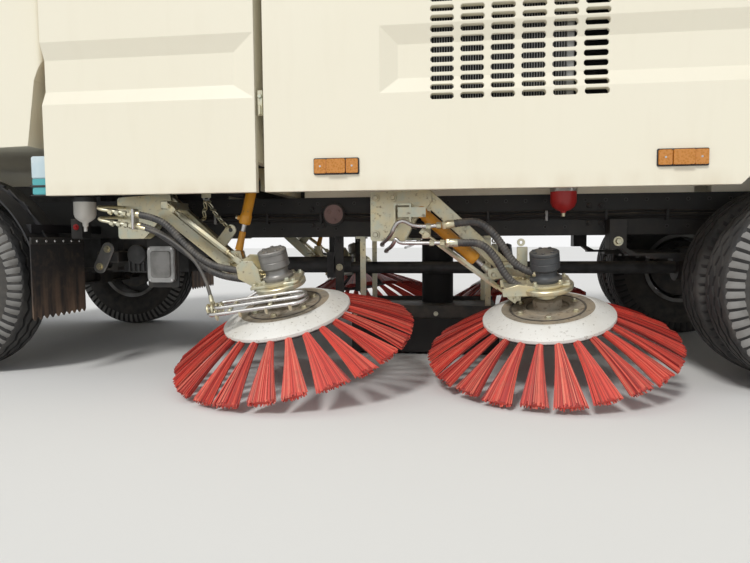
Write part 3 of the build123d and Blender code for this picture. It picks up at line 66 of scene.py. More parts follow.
# Materials
class Surface:
    """A procedural material: a shader with layers of colour, roughness and bump."""

    def __init__(self, name, colour, rough=0.5, metal=0.0, coat=0.0, coat_rough=0.15):
        self.mat = bpy.data.materials.new(name)
        self.mat.use_nodes = True
        self.tree = self.mat.node_tree
        self.shader = self.tree.nodes["Principled BSDF"]
        self.set("Metallic", metal).set("Coat Weight", coat).set("Coat Roughness", coat_rough)
        self.place = self.node("ShaderNodeTexCoord").outputs["Object"]
        self.tint = (*colour, 1)
        self.rough = rough
        self.normal = None

    def set(self, key, value):
        self.shader.inputs[key].default_value = value
        return self

    def node(self, kind, **values):
        made = self.tree.nodes.new(kind)
        for key, value in values.items():
            if hasattr(made, key):
                setattr(made, key, value)
            else:
                made.inputs[key].default_value = value
        return made

    def link(self, source, target):
        if isinstance(source, (tuple, float, int)):
            target.default_value = source
        else:
            self.tree.links.new(source, target)

    def texture(self, kind, output, stretch, **values):
        """A texture's output, over object coordinates that may be stretched."""
        made = self.node(kind, **values)
        place = self.place
        if stretch is not None:
            scaled = self.node("ShaderNodeVectorMath", operation="MULTIPLY")
            self.link(place, scaled.inputs[0])
            scaled.inputs[1].default_value = stretch
            place = scaled.outputs[0]
        self.link(place, made.inputs["Vector"])
        return made.outputs[output]

    def noise(self, scale, detail=4, stretch=None):
        return self.texture("ShaderNodeTexNoise", "Fac", stretch, Scale=scale, Detail=detail)

    def cells(self, scale):
        return self.texture("ShaderNodeTexVoronoi", "Distance", None, Scale=scale)

    def spread(self, value, low, high, start=0.0, end=1.0):
        """Maps low..high to start..end, clamped."""
        made = self.node("ShaderNodeMapRange")
        self.link(value, made.inputs["Value"])
        for key, number in zip(("From Min", "From Max", "To Min", "To Max"), (low, high, start, end)):
            made.inputs[key].default_value = number
        return made.outputs["Result"]

    def maths(self, operation, a, b):
        made = self.node("ShaderNodeMath", operation=operation, use_clamp=True)
        self.link(a, made.inputs[0])
        self.link(b, made.inputs[1])
        return made.outputs[0]

    def upward(self, vector):
        """The z of a place or a normal."""
        made = self.node("ShaderNodeSeparateXYZ")
        self.link(vector, made.inputs[0])
        return made.outputs["Z"]

    def layer(self, mask, colour, rough=None):
        """Lays a colour, and a roughness where given, over what is there."""
        made = self.node("ShaderNodeMixRGB")
        self.link(mask, made.inputs["Fac"])
        self.link(self.tint, made.inputs["Color1"])
        self.link((*colour, 1), made.inputs["Color2"])
        self.tint = made.outputs["Color"]
        if rough is not None:
            mixed = self.node("ShaderNodeMix", data_type="FLOAT")
            self.link(mask, mixed.inputs[0])
            self.link(self.rough, mixed.inputs[2])
            self.link(rough, mixed.inputs[3])
            self.rough = mixed.outputs[0]
        return self

    def patches(self, scale, detail, low, high, amount, colour, rough=None, stretch=None):
        """A colour where the noise lies above low, and at its fullest above high."""
        mask = self.spread(self.noise(scale, detail, stretch), low, high, 0.0, amount)
        return self.layer(mask, colour, rough)

    def dirt(self, colour, amount, scale=6.0, low=0.0):
        """Dust on faces that look up, broken by noise."""
        normal = self.node("ShaderNodeNewGeometry").outputs["Normal"]
        mask = self.spread(self.upward(normal), low, 1.0, 0.0, amount)
        broken = self.maths("MULTIPLY", mask, self.spread(self.noise(scale, 6), 0.3, 0.62))
        return self.layer(broken, colour, 0.85)

    def splash(self, colour, amount, full_z, none_z, scale=9.0, stretch=(1, 1, 1)):
        """Road dirt that thins out from full_z up to none_z."""
        mask = self.spread(self.upward(self.place), full_z, none_z, amount, 0.0)
        noise = self.spread(self.noise(scale, 6, stretch), 0.35, 0.65)
        return self.layer(self.maths("MULTIPLY", mask, noise), colour, 0.8)

    def relief(self, height, depth, strength=0.6):
        made = self.node("ShaderNodeBump", Strength=strength, Distance=depth)
        self.link(height, made.inputs["Height"])
        if self.normal is not None:
            self.link(self.normal, made.inputs["Normal"])
        self.normal = made.outputs["Normal"]
        return self

    def grain(self, scale, detail, depth, strength):
        return self.relief(self.noise(scale, detail), depth, strength)

    def soft_edges(self, radius):
        self.normal = self.node("ShaderNodeBevel", samples=4, Radius=radius).outputs["Normal"]
        return self

    def done(self):
        self.link(self.tint, self.shader.inputs["Base Color"])
        self.link(self.rough, self.shader.inputs["Roughness"])
        if self.normal is not None:
            self.link(self.normal, self.shader.inputs["Normal"])
        return self.mat


DUST = (0.36, 0.31, 0.24)
MUD = (0.2, 0.165, 0.125)


def toned(colour, factor, lift=0.0):
    """A colour made lighter or darker."""
    return tuple(min(1.0, c * factor + lift) for c in colour)


def black_steel(name, colour=(0.02, 0.021, 0.022), dust=0.55):
    s = Surface(name, colour, 0.48, 0.1).soft_edges(0.003)
    s.patches(5, 6, 0.42, 0.7, 0.5, (0.045, 0.042, 0.038), 0.7)
    s.splash(MUD, dust * 0.55, 0.25, 0.85, 16)
    return s.dirt(DUST, dust, 9, 0.25).grain(170, 4, 0.0008, 0.3).done()


def metal(name, colour, rough, metallic, dust=0.4):
    s = Surface(name, colour, rough, metallic)
    s.patches(18, 5, 0.42, 0.68, 0.6, toned(colour, 0.55), min(1.0, rough + 0.2))
    return s.dirt(DUST, dust, 12, 0.35).grain(300, 3, 0.0005, 0.3).done()


def plastic(name, colour, rough=0.5, dust=0.5):
    s = Surface(name, colour, rough)
    s.patches(7, 5, 0.42, 0.7, 0.5, toned(colour, 1.8, 0.01), min(1.0, rough + 0.15))
    return s.dirt(DUST, dust, 10, 0.3).grain(500, 2, 0.0004, 0.35).done()


def lens(name, colour, lift):
    """A moulded lens, with a little light of its own."""
    s = Surface(name, colour, 0.16, coat=0.5)
    s.layer(s.spread(s.cells(110), 0.2, 0.6, 0.0, 0.7), toned(colour, 1.25, 0.04))
    s.dirt(DUST, 0.35, 20, 0.4).relief(s.cells(110), 0.0015, 0.5)
    return s.set("Emission Color", (*colour, 1)).set("Emission Strength", lift).done()


def bristles():
    """Red plastic bristles, darkened and lightened from a colour attribute: painted shade and painted
    highlight, in random streaks.
    """
    s = Surface("bristle_red", (0.74, 0.085, 0.062), 0.42)
    split = s.node("ShaderNodeSeparateColor")
    s.link(s.node("ShaderNodeVertexColor", layer_name="painted_light").outputs["Color"], split.inputs[0])
    # Red channel: painted shade, darkest in the tufts' cores. Green channel: painted highlight, a lighter
    # coral.
    s.layer(split.outputs["Red"], (0.27, 0.016, 0.02))
    s.layer(s.maths("MULTIPLY", split.outputs["Green"], 0.8), (0.9, 0.27, 0.18), 0.6)
    s.patches(30, 5, 0.5, 0.75, 0.35, (0.3, 0.1, 0.07), 0.7)
    return s.grain(240, 3, 0.0006, 0.3).done()


def seat_cloth():
    s = Surface("seat_cloth", (0.05, 0.055, 0.068), 0.95)
    s.patches(420, 3, 0.35, 0.65, 0.7, (0.085, 0.09, 0.105), 1.0).dirt(DUST, 0.12, 9, 0.3)
    return s.relief(s.cells(900), 0.0008, 0.5).done()


M = {
    "cream": Surface("cream_paint", (0.88, 0.835, 0.69), 0.32, coat=0.35, coat_rough=0.12)
    .soft_edges(0.005)
    .patches(1.3, 3, 0.35, 0.7, 0.35, (0.85, 0.8, 0.64))
    .patches(14, 5, 0.55, 0.8, 0.12, (0.72, 0.66, 0.5), 0.5, (1, 1, 0.15))
    .splash((0.6, 0.49, 0.33), 0.38, 0.825, 0.9, 11, (1, 1, 0.3))
    .dirt(DUST, 0.16, 5, 0.6)
    .grain(1.1, 2, 0.01, 0.1)
    .grain(420, 2, 0.0004, 0.1)
    .done(),
    "zinc": Surface("zinc_steel", (0.6, 0.58, 0.45), 0.33, 0.72)
    .patches(9, 3, 0.4, 0.62, 0.75, (0.7, 0.6, 0.36), 0.28)
    .patches(23, 3, 0.52, 0.68, 0.55, (0.52, 0.58, 0.5), 0.38)
    .patches(60, 5, 0.6, 0.72, 0.7, (0.26, 0.2, 0.14), 0.7)
    .dirt((0.33, 0.27, 0.19), 0.55, 14, 0.5)
    .grain(260, 3, 0.0004, 0.25)
    .done(),
    "plate_top": Surface("plate_top", (0.3, 0.27, 0.22), 0.7, 0.35)
    .patches(14, 6, 0.35, 0.66, 1.0, (0.4, 0.33, 0.24), 0.85)
    .patches(48, 6, 0.55, 0.72, 0.8, (0.15, 0.1, 0.065), 0.9)
    .grain(150, 5, 0.0012, 0.4)
    .done(),
    # A pale grey, lighter than the rim's own colour: partly painted light, for sun on the rim under the
    # truck.
    "plate_rim": Surface("plate_rim", (0.78, 0.77, 0.73), 0.5, 0.1)
    .patches(7, 4, 0.42, 0.68, 0.4, (0.6, 0.56, 0.47), 0.6)
    .patches(75, 5, 0.6, 0.74, 0.6, (0.22, 0.18, 0.13), 0.8)
    .grain(190, 4, 0.0006, 0.3)
    .done(),
    "tyre": Surface("tyre_rubber", (0.024, 0.024, 0.025), 0.62)
    .patches(6, 6, 0.38, 0.66, 0.75, (0.075, 0.069, 0.061), 0.92)
    .splash((0.13, 0.115, 0.095), 0.65, 0.03, 0.65, 22)
    .grain(120, 5, 0.0012, 0.4)
    .done(),
    "tread": Surface("tyre_tread", (0.036, 0.036, 0.037), 0.8)
    .patches(9, 6, 0.4, 0.66, 0.8, (0.07, 0.067, 0.062), 0.92)
    .splash((0.1, 0.092, 0.08), 0.5, 0.03, 0.6, 20)
    .grain(160, 5, 0.0012, 0.4)
    .done(),
    "lug": Surface("tyre_lug", (0.24, 0.235, 0.225), 0.85)
    .patches(11, 6, 0.4, 0.68, 0.8, (0.15, 0.143, 0.132), 0.92)
    .grain(160, 5, 0.0012, 0.4)
    .done(),
    "rim": Surface("rim_grey", (0.3, 0.3, 0.3), 0.5, 0.35)
    .patches(8, 6, 0.38, 0.66, 0.7, (0.15, 0.135, 0.115), 0.8)
    .patches(55, 4, 0.62, 0.75, 0.8, (0.17, 0.075, 0.035), 0.9)
    .grain(160, 4, 0.0008, 0.3)
    .done(),
    "flap": Surface("flap_rubber", (0.017, 0.016, 0.016), 0.8)
    .patches(30, 6, 0.5, 0.74, 0.5, (0.1, 0.07, 0.05), 0.9)
    .splash((0.3, 0.19, 0.12), 0.85, 0.3, 0.52, 7, (1, 2.5, 0.35))
    .grain(90, 5, 0.0015, 0.4)
    .done(),
    "orange": Surface("ram_orange", (0.8, 0.36, 0.025), 0.38, coat=0.2)
    .patches(16, 5, 0.45, 0.72, 0.55, (0.6, 0.24, 0.02), 0.5)
    .patches(70, 4, 0.64, 0.74, 0.9, (0.2, 0.15, 0.1), 0.7)
    .dirt(DUST, 0.5, 20, 0.3)
    .grain(260, 3, 0.0004, 0.25)
    .done(),
    "hose": Surface("hose_guard", (0.04, 0.039, 0.04), 0.45)
    .patches(24, 5, 0.42, 0.68, 0.6, (0.13, 0.118, 0.102), 0.75)
    .dirt((0.3, 0.27, 0.22), 0.6, 26, 0.1)
    .grain(320, 3, 0.0005, 0.3)
    .done(),
    "glass": Surface("cab_glass", (0.035, 0.045, 0.045), 0.04, coat=0.6)
    .set("Alpha", 0.42)
    .patches(9, 5, 0.5, 0.75, 0.25, (0.35, 0.34, 0.31), 0.3)
    .grain(3, 2, 0.001, 0.05)
    .done(),
    "floor": Surface("floor", (0.8, 0.8, 0.79), 0.9)
    .patches(0.8, 5, 0.4, 0.7, 0.2, (0.76, 0.76, 0.75))
    .grain(60, 4, 0.001, 0.1)
    .done(),
    "bristle": bristles(),
    "cloth": seat_cloth(),
    "frame_black": black_steel("chassis_black"),
    "axle_black": black_steel("axle_black", (0.024, 0.024, 0.025), 0.7),
    "bright": metal("bright_steel", (0.62, 0.61, 0.6), 0.25, 0.95, 0.2),
    "galvanised": metal("galvanised_plate", (0.42, 0.42, 0.41), 0.42, 0.6, 0.45),
    "motor_silver": metal("motor_silver", (0.27, 0.265, 0.255), 0.38, 0.6, 0.6),
    "motor_dark": metal("motor_dark", (0.075, 0.08, 0.085), 0.45, 0.3, 0.45),
    "cast": metal("cast_grey", (0.085, 0.085, 0.085), 0.6, 0.3, 0.7),
    "tank": metal("tank_steel", (0.34, 0.35, 0.36), 0.4, 0.6),
    "fin": metal("radiator_fin", (0.46, 0.46, 0.45), 0.5, 0.5, 0.2),
    "plastic": plastic("black_plastic", (0.022, 0.022, 0.023), dust=0.6),
    "rubber": plastic("rubber_sheet", (0.018, 0.017, 0.017), 0.75),
    "fender": plastic("fender_plastic", (0.014, 0.014, 0.016), dust=0.12),
    "white_plastic": plastic("white_plastic", (0.62, 0.6, 0.55), 0.45, 0.25),
    "bottle": plastic("bottle_plastic", (0.55, 0.68, 0.74), 0.25, 0.1),
    "fluid": plastic("bottle_fluid", (0.1, 0.42, 0.45), 0.3, 0.1),
    "seat": plastic("seat_fabric", (0.06, 0.065, 0.075), 0.9, 0.15),
    "tan": plastic("inner_panel", (0.42, 0.31, 0.17), 0.6, 0.3),
    "red_paint": plastic("red_enamel", (0.42, 0.022, 0.022), 0.35, 0.3),
    "pink_disc": plastic("buzzer_face", (0.3, 0.2, 0.19), 0.6, 0.3),
    "amber": lens("amber_lens", (0.46, 0.165, 0.003), 0.02),
    "red_lens": lens("red_lens", (0.5, 0.012, 0.01), 0.05),
    "clear_lens": lens("clear_lens", (0.62, 0.63, 0.62), 0.0),
}

# The look of each CAD node, by how its name starts. The longest start counts,
# and the rams are told by how their names end.
STEMS = {
    "frame_black": "chassis_frame cross_members rear_bumper suction_nozzle",
    "axle_black": "front_axle rear_axle leaf_springs knuckle",
    "cast": "drive_line sweeper_engine",
    "plastic": "front_bumper battery_box water_tank mirrors",
    "clear_lens": "lamps",
    "fender": "mudguards",
    "tank": "fuel_tank",
    "rubber": "suction_duct",
    "cream": "front_housing engine_housing hopper tailgate cab_shell vent_door cab_door",
    "zinc": "brush_brackets brush_arm",
    "glass": "cab_glass door_glass",
    "seat": "cab_interior",
    "tyre": "front_tyre rear_tyres",
    "rim": "front_rim rear_rims",
    "bristle": "brush_",
}
LOOKS = {stem: look for look, stems in STEMS.items() for stem in stems.split()}


def look_of(node):
    if node.endswith("_barrel"):
        return "orange"
    if node.endswith("_rod"):
        return "bright"
    return LOOKS[max((stem for stem in LOOKS if node.startswith(stem)), key=len)]


for name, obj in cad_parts.items():
    obj.data.materials.clear()
    obj.data.materials.append(M[look_of(name)])


# Frames, outlines and lines
def axes(origin, z_dir, x_hint=REAR):
    """A frame at origin with its z along z_dir and its x near x_hint."""
    z = Vector(z_dir).normalized()
    x = Vector(x_hint) - z * Vector(x_hint).dot(z)
    if x.length < 1e-4:
        x = z.orthogonal()
    x.normalize()
    made = Matrix((x, z.cross(x), z)).transposed().to_4x4()
    made.translation = Vector(origin)
    return made


def between(start, end, x_hint=ACROSS):
    """A frame at start that looks at end, and the distance."""
    run = Vector(end) - Vector(start)
    return axes(start, run, x_hint), run.length


def upright(x, y, z):
    return Matrix.Translation((x, y, z))


def outward(x, y, z):
    """A frame on the truck's left side: x to the rear, y up, z out to the left."""
    return axes((x, y, z), LEFT)


def facing(way, x, y, z):
    """A frame that looks to the rear (way 1) or the front (way -1), with its x across."""
    return axes((x, y, z), (way, 0, 0), ACROSS)


def edgewise(y, z=0.0):
    """A frame whose x and y lie along the truck and up, z above the origin."""
    return Matrix(((1, 0, 0, 0), (0, 0, 1, y), (0, 1, 0, z), (0, 0, 0, 1)))


def quarter(axis):
    return Matrix.Rotation(pi / 2, 4, axis)


def circle(count, radius, start=0.0):
    """Points (x, y) round a circle, the first of them start steps on."""
    turns = [tau * (k + start) / count for k in range(count)]
    return [(radius * cos(turn), radius * sin(turn)) for turn in turns]


def rounded(width, height, radius, steps=4):
    """A rectangle's outline with round corners."""
    out = []
    for corner, (sx, sy) in enumerate(((1, -1), (1, 1), (-1, 1), (-1, -1))):
        for k in range(steps + 1):
            turn = pi / 2 * (corner - 1 + k / steps)
            x = sx * (width / 2 - radius) + radius * cos(turn)
            out.append((x, sy * (height / 2 - radius) + radius * sin(turn)))
    return out


def stadium(start, end, radius, steps=7):
    """An outline with round ends about two points."""
    a, b = Vector(start), Vector(end)
    first = atan2((b - a).y, (b - a).x) - pi / 2
    out = []
    for centre, turn in ((b, first), (a, first + pi)):
        for k in range(steps + 1):
            angle = turn + pi * k / steps
            out.append((centre.x + radius * cos(angle), centre.y + radius * sin(angle)))
    return out


def smooth_line(points):
    """Points along the NURBS curve of a given route."""
    curve = bpy.data.curves.new("route", "CURVE")
    curve.dimensions = "3D"
    curve.resolution_u = 10
    spline = curve.splines.new("NURBS")
    spline.points.add(len(points) - 1)
    for point, place in zip(spline.points, points):
        point.co = (*place, 1)
    spline.order_u = 3
    spline.use_endpoint_u = True
    holder = bpy.data.objects.new("route", curve)
    bpy.context.scene.collection.objects.link(holder)
    mesh = bpy.data.meshes.new_from_object(holder)
    line = [v.co.copy() for v in mesh.vertices]
    bpy.data.objects.remove(holder)
    bpy.data.curves.remove(curve)
    bpy.data.meshes.remove(mesh)
    return line


def spaced(line, step, closed=False):
    """A line resampled at an even step."""
    if closed:
        line = line + [line[0]]
    lengths = [0.0]
    for a, b in zip(line, line[1:]):
        lengths.append(lengths[-1] + (b - a).length)
    count = max(2, round(lengths[-1] / step))
    out = []
    spot = 0
    for k in range(count + (0 if closed else 1)):
        target = lengths[-1] * k / count
        while spot < len(line) - 2 and lengths[spot + 1] < target:
            spot += 1
        share = (target - lengths[spot]) / max(1e-9, lengths[spot + 1] - lengths[spot])
        out.append(line[spot].lerp(line[spot + 1], share))
    return out


class Shape:
    """A mesh under construction, with a list of the materials it uses."""

    def __init__(self, look):
        self.mesh = bmesh.new()
        self.looks = []
        self.use(look)

    def use(self, look):
        if look not in self.looks:
            self.looks.append(look)
        self.index = self.looks.index(look)
        return self

    def face(self, corners):
        self.mesh.faces.new(corners).material_index = self.index

    def rings(self, rings, closed=False, capped=True):
        """Skins a list of vertex rings."""
        pairs = list(zip(rings, rings[1:]))
        if closed:
            pairs.append((rings[-1], rings[0]))
        for low, high in pairs:
            for k in range(max(len(low), len(high))):
                spots = ((low, k), (low, k + 1), (high, k + 1), (high, k))
                corners = list(dict.fromkeys(ring[n % len(ring)] for ring, n in spots))
                if len(corners) > 2:
                    self.face(corners)
        if capped and not closed:
            for ring in (rings[0][::-1], rings[-1]):
                if len(ring) > 2:
                    self.face(ring)

    def lathe(self, profile, at=HERE, sides=32, capped=True):
        """Turns (radius, height) points about the z of a frame, or of a point."""
        at = at if isinstance(at, Matrix) else upright(*at)
        rings = []
        for radius, height in profile:
            points = circle(sides, radius) if radius > 1e-6 else [(0, 0)]
            rings.append([self.mesh.verts.new(at @ Vector((x, y, height))) for x, y in points])
        self.rings(rings, capped=capped)
        return self

    def ring(self, inner, outer, half, at, sides=24):
        """A flat ring across the frame's z."""
        section = ((inner, -half), (outer, -half), (outer, half), (inner, half), (inner, -half))
        return self.lathe(section, at, sides, capped=False)

    def prism(self, outline, depth, at, bevel=0.0, steps=1):
        """Pulls an outline in the frame's x and y along its z."""
        at = at if isinstance(at, Matrix) else upright(*at)
        part = bmesh.new()
        low, high = ([part.verts.new((x, y, z)) for x, y in outline] for z in (0, depth))
        part.faces.new(low[::-1])
        part.faces.new(high)
        for k in range(len(low)):
            n = (k + 1) % len(low)
            part.faces.new((low[k], low[n], high[n], high[k]))
        bmesh.ops.recalc_face_normals(part, faces=part.faces)
        if bevel:
            bmesh.ops.bevel(
                part, geom=part.edges[:], offset=bevel,
                segments=steps, affect="EDGES", clamp_overlap=True,
            )
        bmesh.ops.transform(part, matrix=at, verts=part.verts)
        if at.determinant() < 0:
            bmesh.ops.reverse_faces(part, faces=part.faces)
        return self.take(part)

    def take(self, part):
        """Merges a finished bmesh into this one."""
        for f in part.faces:
            f.material_index = self.index
        passing = bpy.data.meshes.new("passing")
        part.to_mesh(passing)
        part.free()
        self.mesh.from_mesh(passing)
        bpy.data.meshes.remove(passing)
        return self

    def block(self, size, at, bevel=0.002, steps=1):
        """A box centred on a frame's origin, or on a point."""
        at = at if isinstance(at, Matrix) else upright(*at)
        x, y, z = (v / 2 for v in size)
        outline = ((-x, -y), (x, -y), (x, y), (-x, y))
        return self.prism(outline, 2 * z, at @ upright(0, 0, -z), bevel, steps)

    def tube(self, line, radius, sides=12, closed=False):
        """Sweeps a circle along a line. radius is a number, or depends on (distance, turn)."""
        rings = []
        distance = 0.0
        across = None
        for k, point in enumerate(line):
            before = line[k - 1] if k or closed else point
            after = line[(k + 1) % len(line)] if k < len(line) - 1 or closed else point
            ahead = (after - before).normalized()
            across = across if across else ahead.orthogonal()
            across = (across - ahead * across.dot(ahead)).normalized()
            other = ahead.cross(across)
            if k:
                distance += (point - line[k - 1]).length
            ring = []
            for n in range(sides):
                turn = tau * n / sides
                r = radius(distance, turn) if callable(radius) else radius
                place = point + (across * cos(turn) + other * sin(turn)) * r
                ring.append(self.mesh.verts.new(place))
            rings.append(ring)
        self.rings(rings, closed=closed)
        return self

    def bolt(self, place, size=0.009, way=LEFT):
        """A hexagon head on a washer. size is the head's radius."""
        at = axes(place, way)
        washer = size * 0.32
        self.lathe(((0, washer), (size * 1.45, washer), (size * 1.5, 0)), at, 14)
        top = size * 1.25
        head = ((0, top), (size * 0.82, top), (size, size * 1.05), (size, size * 0.3))
        return self.lathe(head, at @ Matrix.Rotation(rng.uniform(0, 1), 4, "Z"), 6)

    def piece(self, name, body, slot, at=HERE, flat=False):
        """Makes the object, carried by a body. at moves or mirrors what was drawn."""
        mesh = bpy.data.meshes.new(name)
        self.mesh.to_mesh(mesh)
        for look in self.looks:
            mesh.materials.append(M[look])
        mesh.transform(at)
        if at.determinant() < 0:
            mesh.flip_normals()
        for polygon in mesh.polygons:
            polygon.use_smooth = not flat
        if not flat:
            mesh.set_sharp_from_angle(angle=radians(38))
        obj = bpy.data.objects.new(name, mesh)
        bpy.context.scene.collection.objects.link(obj)
        if body is not None:
            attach(obj, body)
        return obj


def dress(name, shape, body="chassis", slot="chassis_black", node=None, at=HERE, sides=SIDES, flat=False):
    """Places a left-hand piece, and its mirror image on the right, in place of a CAD node if named."""
    for side, mirror in sides:
        carrier = body.replace("SIDE", side)
        made = shape.piece(f"{name}_{side}", carrier, slot, mirror @ at, flat)
        if node is not None:
            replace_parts(made, node.replace("SIDE", side))


# Planes that pieces stand on, in y on the left, in x at the ends and in z on the roof.
RAIL_FACE, DOOR_FACE = -0.4, -1.019
NOSE, TAIL, GATE_BACK = -3.492, 3.492, 3.446
ROOF = 2.65

# Brushes: the frame of each plate, its z along the leaning axis, on the left side.
DECKS = {
    "front": axes((-0.64, -1.06, 0.342), (-0.158, -0.268, 1)),
    "rear": axes((0.47, -0.95, 0.326), (-0.105, -0.249, 1)),
}
HEAD_TOP = 0.118
TUFTS = 24
STRANDS = 135
TUFT_ROOT = (0.236, -0.03)
TUFT_TIP = (0.5265, -0.177)
ROOT_HALF = (0.0105, 0.012)
TIP_HALF = (0.057, 0.0125)
TUFT_ARCH = 0.026
CORE_RIDGES, CORE_REACH = 22, 0.97


def make_plate():
    """The brush's plate, hub and tuft ring, in the brush's own frame."""
    s = Shape("plate_top")
    s.lathe(
        (
            (0, 0.058), (0.052, 0.058), (0.06, 0.052), (0.06, 0.016), (0.086, 0.012),
            (0.089, 0.018), (0.101, 0.018), (0.104, 0.012), (0.148, 0.012),
            (0.151, 0.009), (0.157, 0.009), (0.16, 0.012), (0.192, 0.012),
        ),
        HERE, 96, capped=False,
    )
    s.use("plate_rim").lathe(
        (
            (0.192, 0.012), (0.2, 0.0125), (0.205, 0.01), (0.27, -0.021),
            (0.2745, -0.025), (0.275, -0.036), (0.271, -0.04),
        ),
        HERE, 96, capped=False,
    )
    s.use("cast").lathe(
        ((0.271, -0.04), (0.262, -0.05), (0.202, -0.05), (0.19, -0.006), (0, -0.006)),
        HERE, 96, capped=False,
    )
    # A dark ring over the groove: painted shade in the groove.
    s.use("rubber").ring(0.15, 0.1575, 0.0006, (0, 0, 0.0124), 96)
    for x, y in circle(6, 0.128, 0.4):
        s.use("zinc").bolt((x, y, 0.012), 0.0095, UP)
    return s


def make_tufts(seed):
    """Flared tufts in the brush's own frame: a ridged core with bristles round it. The core is painted
    dark as shade in the gaps between the bristles, and each strand gets a random painted shade and painted
    highlight.
    """
    own = random.Random(seed)
    s = Shape("bristle")
    painted_light = s.mesh.loops.layers.color.new("painted_light")
    tones = {}
    up = Vector(UP)
    for k in range(TUFTS):
        turn = tau * k / TUFTS
        out = Vector((cos(turn), sin(turn), 0))
        side = Vector((-sin(turn), cos(turn), 0))
        flare = own.uniform(0.8, 1.1)
        reach = own.uniform(0.975, 1.0)
        sweep = own.uniform(-0.01, 0.01)

        def spot(share, across, through, flare=flare, reach=reach, sweep=sweep, out=out, side=side):
            """A point inside the tuft: share along it, across and through from -1 to 1."""
            t = share * reach
            place = out * (TUFT_ROOT[0] + (TUFT_TIP[0] - TUFT_ROOT[0]) * t)
            place += up * (TUFT_ROOT[1] + (TUFT_TIP[1] - TUFT_ROOT[1]) * t + TUFT_ARCH * t * (1 - t))
            wide = ROOT_HALF[0] + (TIP_HALF[0] * flare - ROOT_HALF[0]) * t**1.25
            deep = ROOT_HALF[1] + (TIP_HALF[1] - ROOT_HALF[1]) * t
            return place + side * (across * wide + sweep * t * t) + (up + out * 0.45) * (through * deep)

        # Painted shade: a random darkness for this tuft's strands, and a darker core that shows in the
        # gaps between them.
        depth_tone = own.uniform(0, 0.45)
        ridges = [(own.uniform(0.66, 0.92), own.uniform(0.35, 1.0)) for _ in range(CORE_RIDGES)]
        rings = []
        for n in range(7):
            ring = []
            for m, (ridge, tone) in enumerate(ridges):
                angle = tau * m / len(ridges)
                vert = s.mesh.verts.new(spot(CORE_REACH * n / 6, ridge * cos(angle), ridge * sin(angle)))
                tones[vert] = (tone, 0.15 * n / 6)
                ring.append(vert)
            rings.append(ring)
        s.rings(rings)
        for _ in range(STRANDS):
            angle = own.uniform(0, tau)
            depth = sqrt(own.uniform(0.55, 1.0))
            stray = own.uniform(0.96, 1.06) if own.random() < 0.9 else own.uniform(1.0, 1.22)
            end = own.uniform(0.95, 1.0)
            # This strand's painted shade and painted highlight, at random.
            tone = (min(1.0, depth_tone + own.random() ** 1.4), own.random() ** 1.6)
            rings = []
            for n in range(5):
                t = end * n / 4
                spread = depth * (1 + (stray - 1) * t)
                centre = spot(t, spread * cos(angle), spread * sin(angle))
                ring = []
                for corner in range(3):
                    way = tau * (corner + 0.25) / 3
                    half = 0.0012 + 0.001 * t
                    offset = side * (cos(way) * half) + (up + out * 0.45) * (sin(way) * half)
                    vert = s.mesh.verts.new(centre + offset)
                    tones[vert] = tone
                    ring.append(vert)
                rings.append(ring)
            s.rings(rings)
    for face in s.mesh.faces:
        for loop in face.loops:
            dark, painted_highlight = tones[loop.vert]
            loop[painted_light] = (dark, painted_highlight, 0, 1)
    return s


def make_motor(look):
    """A hydraulic motor on its flange, standing on the brush head, in the brush's frame."""
    s = Shape("zinc")
    s.lathe(
        ((0, 0.096), (0.108, 0.096), (0.111, 0.1), (0.111, 0.114), (0.107, 0.118), (0, 0.118)), HERE, 48,
    )
    s.lathe(
        ((0, 0.118), (0.082, 0.118), (0.085, 0.121), (0.085, 0.131), (0.08, 0.134), (0, 0.134)), HERE, 40,
    )
    s.lathe(((0.034, 0.058), (0.044, 0.062), (0.044, 0.096), (0, 0.096)), HERE, 32)
    for x, y in circle(4, 0.072, 0.5):
        s.bolt((x, y, 0.134), way=UP)
    s.use(look)
    s.lathe(
        (
            (0, 0.134), (0.064, 0.134), (0.066, 0.137), (0.066, 0.146), (0.052, 0.152),
            (0.047, 0.16), (0.047, 0.176), (0.056, 0.184), (0.0605, 0.188), (0.0605, 0.212),
            (0.059, 0.2135), (0.059, 0.2155), (0.0605, 0.217), (0.0605, 0.241), (0.0575, 0.2425),
            (0.0575, 0.2445), (0.0605, 0.246), (0.0605, 0.255), (0.056, 0.259), (0, 0.259),
        ),
        HERE, 48,
    )
    for x, y in circle(7, 0.044):
        s.lathe(((0, 0.2645), (0.0055, 0.2645), (0.0075, 0.263), (0.0075, 0.258)), (x, y, 0), 12)
    return s


plate = make_plate()
for end, seed, look in (("front", 3, "motor_silver"), ("rear", 5, "motor_dark")):
    disc, arm, deck = f"brush_{end}_SIDE", f"arm_{end}_SIDE", DECKS[end]
    dress(f"brush_plate_{end}", plate, disc, "zinc_steel", disc, deck)
    dress(f"bristle_tufts_{end}", make_tufts(seed), disc, "bristle_red", disc, deck, flat=True)
    dress(f"brush_motor_{end}", make_motor(look), arm, "motor_grey", f"brush_{arm}", deck)


def on_deck(end, x, y, z):
    """A point given in a left brush's own frame."""
    return DECKS[end] @ Vector((x, y, z))


CHANNEL_WALL = 0.006


def channel(s, start, end, width, height):
    """A U section from start to end, open downwards."""
    at, length = between(start, end)
    w, h, t = width / 2, height / 2, CHANNEL_WALL
    outline = (
        (-w, -h), (-w, h), (w, h), (w, -h), (w - t, -h), (w - t, h - t), (t - w, h - t), (t - w, -h),
    )
    s.prism(outline, length, at, 0.0012)


def strap(s, points, y, thick):
    """A flat plate whose outline is (x, z) points, lying at y."""
    s.prism(points, thick, edgewise(y), 0.0015)


